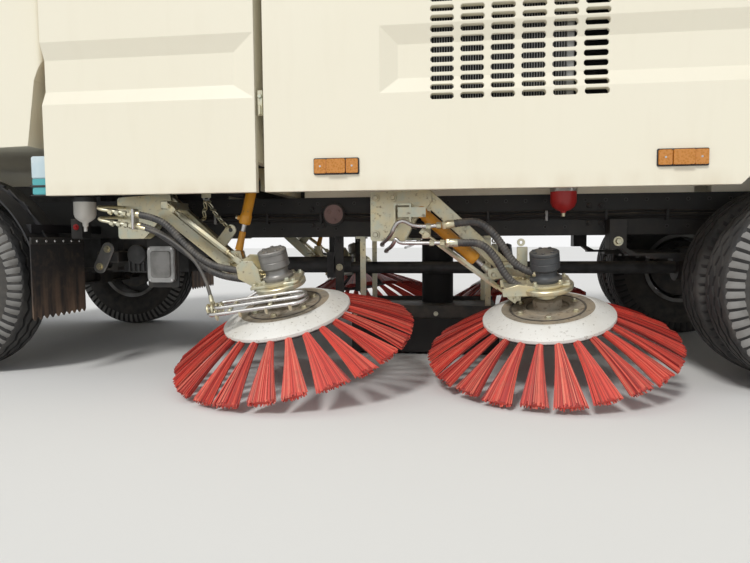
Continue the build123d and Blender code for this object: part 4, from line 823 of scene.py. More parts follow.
def turnbuckle(s, start, end):
    """A hexagon sleeve with threaded ends and forked eyes."""
    body_radius, rod_radius = 0.0135, 0.0075
    at, length = between(start, end)
    s.use("zinc")
    s.lathe(((rod_radius, 0.02), (rod_radius, length - 0.02)), at, 10)
    sleeve = (length * 0.17, length * 0.8)
    s.lathe(
        (
            (rod_radius, sleeve[0] - 0.004), (body_radius * 0.85, sleeve[0]),
            (body_radius, sleeve[0] + 0.005), (body_radius, sleeve[1] - 0.005),
            (body_radius * 0.85, sleeve[1]), (rod_radius, sleeve[1] + 0.004),
        ),
        at, 6,
    )
    for spot in (sleeve[0] - 0.01, sleeve[1] + 0.004):
        s.lathe(((0, 0), (0.0125, 0), (0.0125, 0.008), (0, 0.008)), at @ upright(0, 0, spot), 6)
    for spot, way in ((0, 1), (length, -1)):
        low, high = sorted((spot - way * 0.012, spot + way * 0.03))
        for gap in (-0.011, 0.011):
            s.block((0.006, 0.026, high - low), at @ upright(gap, 0, (low + high) / 2), 0.0015)
        s.block((0.028, 0.022, 0.012), at @ upright(0, 0, spot + way * 0.03), 0.002)
        for way in (1, -1):
            s.bolt(at @ Vector((0.014 * way, 0, spot)), 0.008, at.to_3x3() @ Vector((way, 0, 0)))


def ram_barrel(s, base, eye, radius, length):
    """A lift ram's barrel: eye, tube, gland and port bosses."""
    at, _ = between(base, eye)
    s.lathe(
        (
            (0, radius * 0.4), (radius * 0.86, radius * 0.6), (radius, radius * 0.8),
            (radius, length - 0.05), (radius * 1.07, length - 0.047),
            (radius * 1.12, length - 0.04), (radius * 1.12, length - 0.01),
            (radius * 1.0, length - 0.003), (radius * 0.7, length), (radius * 0.45, length),
        ),
        at, 28,
    )
    s.ring(0.012, radius, radius * 0.95, at @ quarter("Y"))
    ports = [at @ upright(0, 0, spot) @ quarter("X") for spot in (0.055, length - 0.025)]
    for port in ports:
        s.lathe(((0.011, radius * 0.8), (0.011, radius + 0.012), (0, radius + 0.012)), port, 12)
    s.use("zinc")
    for port in ports:
        s.lathe(((0.0085, radius), (0.0085, radius + 0.022), (0, radius + 0.024)), port, 6)


def ram_rod(s, base, eye, radius, start, clevis, look):
    """A lift ram's rod with the clevis that ends it."""
    at, whole = between(base, eye)
    stop = whole - clevis * 0.7
    s.lathe(((0, start), (radius, start), (radius, stop), (0, stop)), at, 20)
    s.use(look)
    s.lathe(
        (
            (radius * 0.9, whole - clevis), (radius * 1.35, whole - clevis + 0.004),
            (radius * 1.5, whole - clevis * 0.55), (radius * 1.7, whole - 0.026), (0, whole - 0.018),
        ),
        at, 16,
    )
    s.ring(0.012, 0.025, 0.012, at @ upright(0, 0, whole) @ quarter("Y"), 20)


# Each ram: its pins, the barrel's radius and length, the clevis and its look.
RAMS = {
    "front": ((-0.83, -0.86, 0.93), (-0.92, -0.86, 0.56), 0.024, 0.235, 0.115, "orange"),
    "rear": ((-0.07, -0.8, 0.75), (0.25, -0.8, 0.468), 0.027, 0.33, 0.062, "zinc"),
}
ROD_RADIUS = 0.011
for end, (base, eye, radius, length, clevis, look) in RAMS.items():
    barrel = Shape("orange")
    ram_barrel(barrel, base, eye, radius, length)
    rod = Shape("bright")
    ram_rod(rod, base, eye, ROD_RADIUS, length * 0.6, clevis, look)
    key = f"{end}_SIDE"
    dress(f"ram_tube_{end}", barrel, f"ram_barrel_{key}", "ram_orange", f"brush_{key}_barrel")
    dress(f"ram_piston_{end}", rod, f"ram_rod_{key}", "chrome_rod", f"brush_{key}_rod")


LINK_BEND = 0.0075


def chain(s, start, end, sag, links, wire=0.0032):
    """A sagging chain of oval links, each turned a quarter from the last."""
    a, b = Vector(start), Vector(end)
    spots = []
    for k in range(links + 1):
        dip = -4 * sag * (k / links) * (1 - k / links)
        spots.append(a.lerp(b, k / links) + Vector((0, 0, dip)))
    for k, (low, high) in enumerate(zip(spots, spots[1:])):
        half = (high - low).length * 0.5 + wire * 1.4
        at = axes((low + high) / 2, (0.35, 1, 0.5) if k % 2 else (0.2, -0.5, 1), high - low)
        loop = []
        for x, y in circle(12, LINK_BEND, 0.5):
            loop.append(at @ Vector((x + (half - LINK_BEND) * (1 if x > 0 else -1), y, 0)))
        s.tube(loop, wire, 6, closed=True)


# Arms: a channel down from the bracket, a second one out to the head,
# the stay beside it, the ram's lug and the plates that hold the motor.
FRONT_PIVOT = Vector((-1.3, -0.76, 0.83))
FRONT_KNEE = Vector((-0.94, -0.76, 0.5))
REAR_PIVOT = Vector((-0.06, -0.72, 0.835))
REAR_KNEE = Vector((0.3, -0.72, 0.505))


def make_front_arm():
    s = Shape("zinc")
    head = on_deck("front", 0, 0, 0.104)
    channel(s, FRONT_PIVOT + Vector((0.01, 0, -0.01)), FRONT_KNEE, 0.05, 0.06)
    low = FRONT_KNEE + Vector((0, -0.13, 0.01))
    channel(s, FRONT_PIVOT + Vector((0.03, -0.125, -0.06)), low, 0.036, 0.05)
    s.block((0.04, 0.2, 0.05), (-0.955, -0.825, 0.505), 0.003)
    channel(s, (-0.975, -0.825, 0.505), head, 0.078, 0.048)
    s.ring(0.016, 0.029, 0.024, axes(FRONT_PIVOT, ACROSS), 24)
    strap(s, stadium((-1.04, 0.592), (-0.972, 0.678), 0.027), -0.806, 0.008)
    s.use("cast").lathe(((0, 0.0006), (0.01, 0.0006), (0.01, 0)), outward(-0.972, -0.806, 0.678), 14)
    s.use("zinc")
    for offset in (-0.028, 0.018):
        strap(
            s,
            (
                (-0.942, 0.538), (-0.942, 0.582), (-0.898, 0.582),
                (-0.88, 0.51), (-0.88, 0.466), (-0.96, 0.466),
            ),
            -0.86 + offset, 0.01,
        )
    s.bolt((-0.92, -0.89, 0.56), 0.01)
    deck = DECKS["front"]
    s.prism(
        ((-0.105, -0.075), (0.085, -0.075), (0.1, -0.055), (0.1, 0.055), (0.085, 0.075), (-0.105, 0.075)),
        0.012, deck @ upright(0, 0, HEAD_TOP), 0.002,
    )
    gusset = (
        (-0.1, 0), (-0.06, 0), (-0.06, 0.075), (-0.075, 0.11),
        (-0.115, 0.118), (-0.15, 0.1), (-0.155, 0.045),
    )
    for y in (-0.05, 0.044):
        s.prism(gusset, 0.006, deck @ edgewise(y, 0.125), 0.0012)
    for x, y in ((-0.088, -0.06), (0.08, -0.058), (-0.088, 0.06), (0.08, 0.058)):
        s.bolt(deck @ Vector((x, y, 0.13)), 0.008, deck.to_3x3() @ Vector(UP))
    turnbuckle(s, (-1.195, -0.965, 0.782), (-0.861, -0.985, 0.531))
    strap(s, ((-0.885, 0.5), (-0.835, 0.5), (-0.84, 0.545), (-0.87, 0.55)), -0.989, 0.008)
    s.block((0.05, 0.15, 0.01), (-0.865, -0.915, 0.5), 0.002)
    s.block((0.036, 0.22, 0.036), (-1.215, -0.87, 0.79), 0.003)
    for k in range(3):
        along = FRONT_PIVOT.lerp(FRONT_KNEE, 0.25 + 0.28 * k)
        s.bolt(along + Vector((0.018, -0.025, 0)), 0.008)
    return s


def make_rear_arm():
    s = Shape("zinc")
    head = on_deck("rear", 0, 0, 0.104)
    channel(s, REAR_PIVOT, REAR_KNEE, 0.046, 0.066)
    s.block((0.044, 0.11, 0.05), (0.315, -0.755, 0.5), 0.003)
    channel(s, (0.312, -0.786, 0.478), head, 0.074, 0.046)
    s.ring(0.016, 0.029, 0.024, axes(REAR_PIVOT, ACROSS), 24)
    for offset in (-0.028, 0.018):
        strap(
            s, ((0.225, 0.446), (0.225, 0.492), (0.268, 0.5), (0.335, 0.52), (0.345, 0.47), (0.29, 0.45)),
            -0.8 + offset, 0.01,
        )
    s.bolt((0.25, -0.83, 0.468), 0.012)
    deck = DECKS["rear"]
    s.prism(
        (
            (-0.175, -0.04), (-0.08, -0.062), (0.085, -0.062), (0.098, -0.045),
            (0.098, 0.045), (0.085, 0.062), (-0.08, 0.062), (-0.175, 0.04),
        ),
        0.012, deck @ upright(0, 0, HEAD_TOP), 0.002,
    )
    for y in (-0.066, 0.058):
        side = (
            (-0.185, -0.012), (-0.06, -0.02), (0.01, -0.006),
            (0.01, 0.008), (-0.06, 0.022), (-0.12, 0.034), (-0.185, 0.022),
        )
        s.prism(side, 0.008, deck @ edgewise(y, 0.11), 0.0015)
    s.block((0.046, 0.008, 0.135), (0.372, -0.86, 0.525), 0.002)
    s.ring(0.007, 0.017, 0.006, axes((0.366, -0.866, 0.612), ACROSS), 20)
    for x, y in ((-0.088, -0.05), (0.08, -0.046), (-0.088, 0.05), (0.08, 0.046)):
        s.bolt(deck @ Vector((x, y, 0.13)), 0.008, deck.to_3x3() @ Vector(UP))
    turnbuckle(s, (-0.06, -0.895, 0.66), (0.335, -0.915, 0.365))
    s.block((0.03, 0.166, 0.03), (-0.05, -0.822, 0.645), 0.003)
    s.block((0.03, 0.01, 0.15), (-0.045, -0.738, 0.716), 0.002)
    s.block((0.034, 0.056, 0.09), (0.345, -0.905, 0.405), 0.003)
    s.bolt((0.345, -0.938, 0.378), 0.01)
    for k in range(3):
        along = REAR_PIVOT.lerp(REAR_KNEE, 0.12 + 0.4 * k)
        s.bolt(along + Vector((0, -0.023, 0.01)), 0.0085)
    return s


for end, arm in (("front", make_front_arm()), ("rear", make_rear_arm())):
    dress(f"arm_steelwork_{end}", arm, f"arm_{end}_SIDE", "zinc_steel", f"brush_arm_{end}_SIDE")


# Hoses and hard pipes to the brush motors, and the spray bar.
GUARD_PITCH = 0.0125


def guarded(radius):
    """Radius of a hose in a spiral guard."""

    def at(distance, turn):
        phase = (distance / GUARD_PITCH - turn / tau) % 1.0
        return radius * (1.0 + 0.16 * abs(sin(pi * phase)) ** 0.6)

    return at


def hose(s, route, radius, guard=True):
    """A hose along a route, with crimped ends and hexagon nuts."""
    line = spaced(smooth_line(route), 0.0024 if guard else 0.008)
    s.use("hose").tube(line, guarded(radius) if guard else radius, 14 if guard else 10)
    for here, there in ((line[0], line[1]), (line[-1], line[-2])):
        at, _ = between(here, there)
        s.use("zinc")
        s.lathe(
            (
                (0, -0.006), (radius * 1.12, -0.006), (radius * 1.22, 0),
                (radius * 1.22, 0.028), (radius * 1.05, 0.034),
            ),
            at, 16,
        )
        s.lathe(
            ((0, -0.02), (radius * 1.15, -0.02), (radius * 1.3, -0.017), (radius * 1.3, -0.006)), at, 6,
        )


def pipe(s, route, radius, look="zinc"):
    s.use(look).tube(spaced(smooth_line(route), 0.01), radius, 12)


# Guarded hoses from the hard pipes to the motors' two ports, and a thin one beside them.
FRONT_HOSES = (
    (
        (-1.325, -1.045, 0.748), (-1.261, -1.05, 0.74), (-1.17, -1.055, 0.705), (-1.09, -1.06, 0.615),
        (-1.001, -1.065, 0.54), (-0.911, -1.075, 0.507), (-0.8, -1.095, 0.497),
    ),
    (
        (-1.325, -1.035, 0.7), (-1.263, -1.04, 0.69), (-1.181, -1.045, 0.645),
        (-1.068, -1.05, 0.568), (-0.979, -1.06, 0.5), (-0.889, -1.08, 0.47), (-0.77, -1.11, 0.462),
    ),
)
FRONT_THIN_HOSE = (
    (-1.3, -1.05, 0.69), (-1.21, -1.06, 0.668), (-1.113, -1.07, 0.611),
    (-1.023, -1.085, 0.536), (-0.96, -1.12, 0.44), (-0.925, -1.17, 0.372),
)
REAR_HOSES = (
    (
        (0.045, -0.95, 0.69), (0.1, -0.952, 0.698), (0.185, -0.955, 0.705), (0.262, -0.958, 0.63),
        (0.32, -0.962, 0.53), (0.375, -0.975, 0.492), (0.435, -1.0, 0.476),
    ),
    (
        (0.06, -0.945, 0.612), (0.11, -0.948, 0.612), (0.19, -0.952, 0.612), (0.252, -0.958, 0.55),
        (0.29, -0.962, 0.472), (0.355, -0.975, 0.415), (0.44, -1.005, 0.418),
    ),
)


def make_hoses(routes, radius):
    s = Shape("hose")
    for route in routes:
        hose(s, route, radius)
    return s


def union(s, radius, length, at):
    """A hexagon nut with chamfered ends."""
    low, flat = radius - 0.0025, length - 0.003
    profile = ((0, 0), (low, 0), (radius, 0.003), (radius, flat), (low, length), (0, length))
    s.use("zinc").lathe(profile, at, 6)


def make_front_pipes():
    """Hard pipes that come down behind the panel and end in unions at the clamp."""
    s = Shape("zinc")
    for z, y in ((0.772, -1.05), (0.722, -1.04)):
        pipe(
            s,
            (
                (-1.5, -0.41, z + 0.02), (-1.505, -0.8, z + 0.02), (-1.505, -1.02, z + 0.012),
                (-1.49, y, z + 0.002), (-1.46, y, z - 0.006), (-1.36, y, z - 0.02),
            ),
            0.0075,
        )
        for k, x in enumerate((-1.44, -1.408, -1.374, -1.35)):
            at = axes((x, y, z - 0.012 - 0.004 * k), (1, 0, -0.18))
            union(s, 0.0135, 0.018, at)
    s.use("bright").block((0.012, 0.05, 0.09), (-1.318, -1.048, 0.725), 0.003)
    return s


REAR_PIPES = (
    (
        (-0.27, -0.6, 0.6), (-0.27, -0.75, 0.6), (-0.2, -0.93, 0.64), (-0.175, -0.95, 0.7),
        (-0.14, -0.95, 0.712), (-0.09, -0.95, 0.678), (0.02, -0.95, 0.688),
    ),
    (
        (-0.25, -0.6, 0.57), (-0.25, -0.75, 0.57), (-0.19, -0.93, 0.6), (-0.175, -0.945, 0.64),
        (-0.165, -0.945, 0.614), (-0.12, -0.945, 0.612), (0.035, -0.945, 0.612),
    ),
)


def make_rear_pipes():
    """The pair of bent pipes beside the rear bracket."""
    s = Shape("bright")
    for route in REAR_PIPES:
        pipe(s, route, 0.0085, "bright")
    for x, z in ((-0.045, 0.684), (0, 0.688), (-0.03, 0.612), (0.015, 0.612)):
        union(s, 0.0145, 0.021, axes((x, -0.948, z), REAR))
    return s


def make_spray_bar():
    """Two racetracks of bent pipe over the front plate, a coil fitting and the nozzles."""
    s = Shape("bright")
    at = axes((-0.716, -1.212, 0.368), (-0.151, -0.256, 0.955))
    half = 0.158
    for rise, width in ((0, 0.05), (0.02, 0.034)):
        loop = []
        for x, y in circle(28, width):
            x += half if x >= 0 else -half
            loop.append(at @ Vector((x + rise * 0.8, y, rise)))
        s.use("bright").tube(spaced(loop, 0.01, closed=True), 0.0075, 12, closed=True)
    coil = []
    for n in range(60):
        turn = tau * n / 16
        coil.append(at @ Vector((-0.214 + 0.0012 * n, 0.024 * cos(turn), 0.004 + 0.024 * sin(turn))))
    s.use("zinc").tube(coil, 0.0052, 8)
    for x in (-0.16, -0.06, 0.05, 0.15):
        s.use("zinc").lathe(
            ((0, -0.026), (0.004, -0.026), (0.008, -0.016), (0.008, 0)), at @ upright(x, -0.05, 0), 8,
        )
    for x in (-0.1, 0.07):
        leg, length = between(at @ Vector((x, 0.05, 0)), on_deck("front", x * 0.4, -0.06, 0.122))
        s.use("bright").lathe(((0.006, 0), (0.006, length)), leg, 8)
        s.use("zinc").block((0.016, 0.11, 0.008), at @ upright(x, 0, 0.01), 0.002)
    s.use("zinc").lathe(
        ((0, 0), (0.011, 0), (0.011, 0.026), (0, 0.026)), axes((-0.922, -1.176, 0.35), (0.2, -0.2, 1)), 6,
    )
    return s


def make_ports(end, routes):
    """Elbows and nuts where hoses meet the motor."""
    s = Shape("zinc")
    centre = on_deck(end, 0, 0, 0.165)
    for route in routes:
        spot = Vector(route[-1])
        inward = centre + (spot - centre) * 0.32
        inward.z = spot.z + 0.004
        bend = [spot + Vector(step) for step in ((-0.012, 0, 0), (0.022, 0, 0), (0.036, 0.008, 0))]
        s.tube(spaced(smooth_line((*bend, inward)), 0.006), 0.0085, 10)
        at, length = between(spot + Vector((0.02, 0, 0)), inward)
        s.lathe(
            ((0, 0), (0.013, 0), (0.0145, 0.003), (0.0145, 0.014), (0, 0.016)),
            at @ upright(0, 0, length - 0.022), 6,
        )
    return s


CHAIN_SPAN = ((-1.083, -0.812, 0.826), (-0.978, -0.812, 0.69))


def make_front_chain():
    """Safety chain from the frame to the front arm, and its loose end."""
    s = Shape("zinc")
    chain(s, *CHAIN_SPAN, 0.018, 9)
    chain(s, (-1.083, -0.822, 0.826), (-1.096, -0.824, 0.722), 0, 5)
    return s


def bending(name, end, shape, slot):
    """Places a hose or chain that runs between the chassis and an arm, on both sides, carried by no body.
    """
    for side, mirror in SIDES:
        key = f"{end}_{side}"
        made = shape.piece(f"{name}_{key}", None, slot, mirror)
        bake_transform(made)


front_hoses = make_hoses(FRONT_HOSES, 0.0135)
hose(front_hoses, FRONT_THIN_HOSE, 0.0078, guard=False)
bending("motor_hoses", "front", front_hoses, "black_plastic")
bending("motor_hoses", "rear", make_hoses(REAR_HOSES, 0.0145), "black_plastic")
bending("safety_chain", "front", make_front_chain(), "zinc_steel")
dress("hard_pipes_front", make_front_pipes(), slot="zinc_steel")
dress("hard_pipes_rear", make_rear_pipes(), slot="zinc_steel")
dress("spray_bar_front", make_spray_bar(), "arm_front_SIDE", "zinc_steel")
dress("motor_ports_front", make_ports("front", FRONT_HOSES), "arm_front_SIDE", "zinc_steel")
dress("motor_ports_rear", make_ports("rear", REAR_HOSES), "arm_rear_SIDE", "zinc_steel")


# Seat pads.
PAD_STEPS = 30


def add_pad(s, at, half_width, half_length, rise, channels):
    """A crowned cushion on the frame's xy plane, drawn in between its corners and at its sewn channels."""
    part = bmesh.new()
    tops, bottoms = [], []
    for i in range(PAD_STEPS + 1):
        u = sin(pi / 2 * (2 * i / PAD_STEPS - 1))
        top, bottom = [], []
        for j in range(PAD_STEPS + 1):
            v = sin(pi / 2 * (2 * j / PAD_STEPS - 1))
            x = half_width * u * (1 - 0.025 * (1 - v * v))
            y = half_length * v * (1 - 0.025 * (1 - u * u))
            seam = sum(exp(-(((v - channel) / 0.045) ** 2)) for channel in channels)
            edge = (max(0, 1 - abs(u) ** 6) * max(0, 1 - abs(v) ** 6)) ** 0.45
            top.append(part.verts.new((x, y, rise * edge * (1 - 0.3 * seam))))
            bottom.append(part.verts.new((x, y, -0.012)))
        tops.append(top)
        bottoms.append(bottom)
    for i in range(PAD_STEPS):
        for j in range(PAD_STEPS):
            part.faces.new((tops[i][j], tops[i + 1][j], tops[i + 1][j + 1], tops[i][j + 1]))
            part.faces.new((bottoms[i][j], bottoms[i][j + 1], bottoms[i + 1][j + 1], bottoms[i + 1][j]))
    steps, last = range(PAD_STEPS), PAD_STEPS
    rim = [(i, 0) for i in steps] + [(last, j) for j in steps]
    rim += [(last - i, last) for i in steps] + [(0, last - j) for j in steps]
    for (i, j), (m, n) in zip(rim, rim[1:] + rim[:1]):
        part.faces.new((tops[i][j], bottoms[i][j], bottoms[m][n], tops[m][n]))
    bmesh.ops.recalc_face_normals(part, faces=part.faces)
    bmesh.ops.transform(part, matrix=at, verts=part.verts)
    s.take(part)


def make_seat_pads():
    """Cushion and back of the three seats, on the solids that carry them."""
    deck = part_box("cab_interior")[0][2]
    s = Shape("cloth")
    for y in (-0.56, 0, 0.56):
        cushion = axes((-2.6, y, deck + 0.3667), (0.083, 0, 0.997), ACROSS)
        add_pad(s, cushion, 0.222, 0.186, 0.042, (-0.42, 0, 0.42))
        back = axes((-2.362, y, deck + 0.655), (-0.992, 0, 0.126), ACROSS)
        add_pad(s, back, 0.216, 0.242, 0.04, (-0.5, -0.1, 0.3))
    return s


# What shows on the chassis behind and under the panels, on both sides.
def make_radiator():
    """The cooler behind the slots: a dark block behind the fins as painted shade inside the core, upright
    fins and a frame that stands on the floor.
    """
    # A dark block behind the fins: painted shade.
    s = Shape("rubber").block((0.56, 0.03, 0.5), (0.24, -1.014, 1.42), 0.002)
    s.use("fin")
    for k in range(52):
        s.block((0.0022, 0.022, 0.48), (-0.028 + 0.0105 * k, -1.04, 1.42), 0)
    s.use("galvanised")
    for x in (-0.05, 0.53):
        s.block((0.03, 0.06, 0.74), (x, -1.022, 1.31), 0.002)
    for z in (1.168, 1.672):
        s.block((0.55, 0.058, 0.02), (0.24, -1.022, z), 0.002)
    return s


def make_marker_lamp():
    """An amber side lamp on its dark base, with a raised middle and a screw at each end."""
    s = Shape("plastic").prism(rounded(0.19, 0.068, 0.006), 0.006, outward(0, 0, 0), 0.001)
    s.use("amber")
    for x, width, rise in ((-0.066, 0.05, 0.016), (0, 0.078, 0.023), (0.066, 0.05, 0.016)):
        s.prism(rounded(width, 0.058, 0.005), rise - 0.005, outward(x, -0.005, 0), 0.003, 2)
    for x in (-0.066, 0.066):
        s.use("bright").lathe(((0, 0.001), (0.004, 0.001), (0.0045, -0.001)), outward(x, -0.016, 0), 12)
    return s


def make_rail_face():
    """Rows of punched holes, each a ring round a black disc of painted shade, and the bolts of the cross
    members, on the rail's outer face.
    """
    s = Shape("cast")
    for k in range(46):
        x = -1.62 + 0.098 * k
        for z in (0.819, 0.686):
            if z == 0.819 or k % 3:
                s.use("cast").ring(0.0065, 0.0095, 0.0012, outward(x, RAIL_FACE, z), 12)
                # A black disc inside the ring: painted shade in the hole.
                s.use("rubber").lathe(
                    ((0, 0.0004), (0.0066, 0.0004)), outward(x, RAIL_FACE, z), 10, capped=False,
                )
    s.use("axle_black")
    for x in (-1.38, -0.64, 0.78, 1.82):
        for dx in (-0.03, 0.03):
            for z in (0.705, 0.79):
                s.bolt((x + dx, RAIL_FACE, z), 0.011)
    return s


def make_buzzer():
    """A round reversing alarm on the left rail, with three bosses on its face."""
    s = Shape("cast")
    at = outward(-0.55, -0.399, 0.762)
    s.use("cast").lathe(((0.058, 0), (0.058, 0.026), (0.053, 0.03), (0.05, 0.03)), at, 40, capped=False)
    s.use("pink_disc").lathe(((0, 0.027), (0.046, 0.027), (0.05, 0.0295)), at, 40, capped=False)
    for x, y in circle(3, 0.026, 0.25):
        s.lathe(((0, 0.034), (0.008, 0.034), (0.01, 0.031), (0.01, 0.026)), at @ upright(x, y, 0), 14)
    return s


def make_accumulator():
    """A red pressure vessel under the engine housing's floor."""
    s = Shape("red_paint").lathe(
        (
            (0, 0.747), (0.011, 0.747), (0.014, 0.756), (0.034, 0.762),
            (0.052, 0.778), (0.06, 0.8), (0.06, 0.902), (0, 0.902),
        ),
        (0.59, -0.6, 0), 36,
    )
    s.use("zinc").lathe(((0, 0.731), (0.008, 0.731), (0.01, 0.735), (0.01, 0.748)), (0.59, -0.6, 0), 6)
    s.use("bright").ring(0.058, 0.063, 0.011, (0.59, -0.6, 0.858), 36)
    s.use("axle_black").block((0.03, 0.15, 0.008), (0.59, -0.468, 0.848), 0.001)
    s.block((0.03, 0.008, 0.03), (0.59, -0.541, 0.858), 0.001)
    return s


def make_bottle():
    """Washer bottle behind the cab, on a shelf from the front housing's wall."""
    s = Shape("fluid").prism(rounded(0.1, 0.125, 0.02), 0.075, (-1.786, -0.95, 0.842), 0.004, 2)
    s.use("bottle").prism(rounded(0.102, 0.127, 0.02), 0.1, (-1.786, -0.95, 0.915), 0.008, 2)
    s.use("plastic").lathe(
        ((0.014, 1.01), (0.014, 1.022), (0.02, 1.024), (0.02, 1.042), (0.016, 1.046), (0, 1.046)),
        (-1.769, -0.95, 0), 20,
    )
    s.use("frame_black").block((0.142, 0.12, 0.006), (-1.769, -0.95, 0.839), 0.001)
    s.block((0.006, 0.12, 0.09), (-1.703, -0.95, 0.881), 0.001)
    s.use("plastic").block((0.104, 0.131, 0.01), (-1.786, -0.95, 0.88), 0.001)
    return s


def make_canister():
    """White float chamber under the front housing, with its ribbed cap and outlet."""
    at = (-1.678, -0.85, 0.016)
    s = Shape("white_plastic").lathe(
        (
            (0, 0.684), (0.012, 0.684), (0.014, 0.702), (0.03, 0.712),
            (0.044, 0.724), (0.05, 0.742), (0.05, 0.806), (0.046, 0.81), (0, 0.81),
        ),
        at, 36,
    )
    s.use("plastic").lathe(
        ((0.053, 0.8), (0.054, 0.804), (0.054, 0.822), (0.048, 0.826), (0, 0.826)), at, 36,
    )
    s.lathe(((0.02, 0.826), (0.02, 0.85), (0, 0.85)), at, 20)
    s.use("frame_black").block((0.09, 0.11, 0.006), (-1.668, -0.86, 0.847), 0.001)
    s.block((0.006, 0.11, 0.11), (-1.668, -0.86, 0.902), 0.001)
    s.use("white_plastic").lathe(((0, 0.66), (0.007, 0.66), (0.008, 0.666), (0.008, 0.686)), at, 12)
    return s


def make_left_boxes():
    """Boxes between the front wheel and the brushes: relay cover, link plate and ribbed casting."""
    s = Shape("frame_black").prism(
        rounded(0.165, 0.33, 0.012), 0.006, outward(-1.372, -0.68, 0.56), 0.001,
    )
    s.block((0.05, 0.29, 0.04), (-1.372, -0.545, 0.69), 0.002)
    s.use("galvanised").prism(
        rounded(0.142, 0.18, 0.022, 5), 0.028, outward(-1.372, -0.686, 0.512), 0.006, 2,
    )
    s.use("motor_silver").prism(
        rounded(0.104, 0.132, 0.014, 5), 0.005, outward(-1.372, -0.714, 0.512), 0.002,
    )
    for x, z in ((-0.058, -0.078), (0.058, -0.078), (-0.058, 0.078), (0.058, 0.078)):
        s.use("bright").lathe(
            ((0, 0.003), (0.005, 0.003), (0.006, 0)), outward(-1.372 + x, -0.714, 0.512 + z), 12,
        )
    s.use("motor_silver").prism(
        stadium((-0.025, -0.05), (0.022, 0.045), 0.034), 0.01, outward(-1.735, -0.6, 0.545), 0.003,
    )
    for x, z in ((-1.758, 0.497), (-1.714, 0.588)):
        s.use("zinc").bolt((x, -0.611, z), 0.013)
    s.use("cast")
    s.block((0.17, 0.26, 0.125), (-1.545, -0.44, 0.525), 0.014, 2)
    for k in range(6):
        s.block((0.009, 0.022, 0.11), (-1.61 + 0.026 * k, -0.575, 0.525), 0.002)
    s.lathe(((0.05, 0), (0.05, 0.03), (0.042, 0.036), (0, 0.036)), outward(-1.56, -0.57, 0.56), 28)
    s.use("axle_black").block((0.12, 0.2, 0.06), (-1.72, -0.5, 0.545), 0.006)
    s.block((0.26, 0.06, 0.06), (-1.6, -0.4, 0.61), 0.004)
    return s


def make_chain_hook():
    s = Shape("zinc").block((0.046, 0.006, 0.08), (-1.083, -0.818, 0.87), 0.001)
    s.block((0.046, 0.43, 0.006), (-1.083, -0.605, 0.905), 0.001)
    s.bolt((-1.083, -0.822, 0.852), 0.008)
    s.use("galvanised").ring(0.009, 0.017, 0.003, outward(-1.083, -0.817, 0.83), 20)
    return s


def make_nozzle_trim():
    """Clamp strip, bolts and rubber skirt round the suction nozzle, and its stay."""
    s = Shape("frame_black").block((0.8, 0.006, 0.068), (-0.08, -0.284, 0.234), 0.001)
    for x in (-0.46, -0.262, -0.019, 0.22):
        s.use("zinc").bolt((x, -0.287, 0.224), 0.0085)
    s.use("rubber").block((0.8, 0.008, 0.184), (-0.08, -0.292, 0.108), 0.001)
    s.use("frame_black").block((0.046, 0.01, 0.36), (-0.535, -0.345, 0.47), 0.0015)
    s.block((0.01, 0.11, 0.046), (-0.535, -0.3, 0.636), 0.001)
    s.block((0.046, 0.07, 0.01), (-0.5, -0.315, 0.292), 0.001)
    s.use("zinc").bolt((-0.535, -0.35, 0.48), 0.0125)
    return s


def make_latch():
    """Plated catch in the gap between the two housings."""
    s = Shape("zinc").block((0.022, 0.012, 0.105), (-0.729, -1.08, 1.2), 0.002)
    s.lathe(((0, 0.008), (0.008, 0.008), (0.01, 0.004), (0.01, 0)), outward(-0.729, -1.086, 1.228), 16)
    s.block((0.01, 0.016, 0.04), (-0.729, -1.089, 1.17), 0.002)
    return s


def make_flap_piece():
    """Rubber flap behind the front wheel with a ragged lower edge, and ribs on the guard."""
    outline = [(-1.06, 0.65), (-0.66, 0.65), (-0.66, 0.285)]
    for k in range(19):
        outline.append((-0.66 - 0.0105 - 0.021 * k, 0.27 if k % 2 == 0 else 0.29))
    outline.append((-1.06, 0.28))
    at = Matrix(((0, 0, 1, -1.8195), (1, 0, 0, 0), (0, 1, 0, 0), (0, 0, 0, 1)))
    s = Shape("flap").prism(outline, 0.006, at, 0)
    s.use("frame_black").block((0.004, 0.4, 0.03), (-1.812, -0.86, 0.632), 0.001)
    for k in range(6):
        s.use("bright").lathe(
            ((0, 0.004), (0.005, 0.003), (0.007, 0)), axes((-1.81, -0.7 - 0.064 * k, 0.632), REAR), 12,
        )
    s.use("fender")
    for z in (0.93, 0.86, 0.79, 0.72):
        lean = z - AXLE_Z
        x = FRONT_AXLE_X + sqrt(0.531**2 - lean**2)
        arch = axes((x, -0.89, z), (x - FRONT_AXLE_X, 0, lean), UP)
        s.block((0.014, 0.236, 0.016), arch @ quarter("Z"), 0.003)
    s.use("frame_black").block((0.06, 0.08, 0.1), (-1.785, -0.72, 0.69), 0.004)
    s.use("red_paint").bolt((-1.785, -0.761, 0.7), 0.01)
    return s


def make_rear_details():
    """Bolts on the rear arm's bracket, pipes and the spring's front hanger."""
    s = Shape("zinc")
    for x, z in ((-0.285, 0.82), (-0.285, 0.65), (-0.205, 0.82)):
        s.bolt((x, -0.77, z), 0.0125)
    for z in (0.69, 0.64):
        pipe(
            s,
            (
                (-0.15, -0.405, z), (-0.148, -0.47, z),
                (-0.04, -0.475, z), (0.06, -0.47, z), (0.062, -0.405, z),
            ),
            0.006, "axle_black",
        )
    s.use("zinc").bolt((0.87, -0.494, 0.612), 0.016)
    s.use("axle_black")
    for x in (1.475, 1.625):
        for y in (-0.412, -0.488):
            s.lathe(((0.009, 0.4), (0.009, 0.592), (0, 0.594)), (x, y, 0), 10)
    s.block((0.23, 0.11, 0.016), (1.55, -0.45, 0.56), 0.003)
    return s


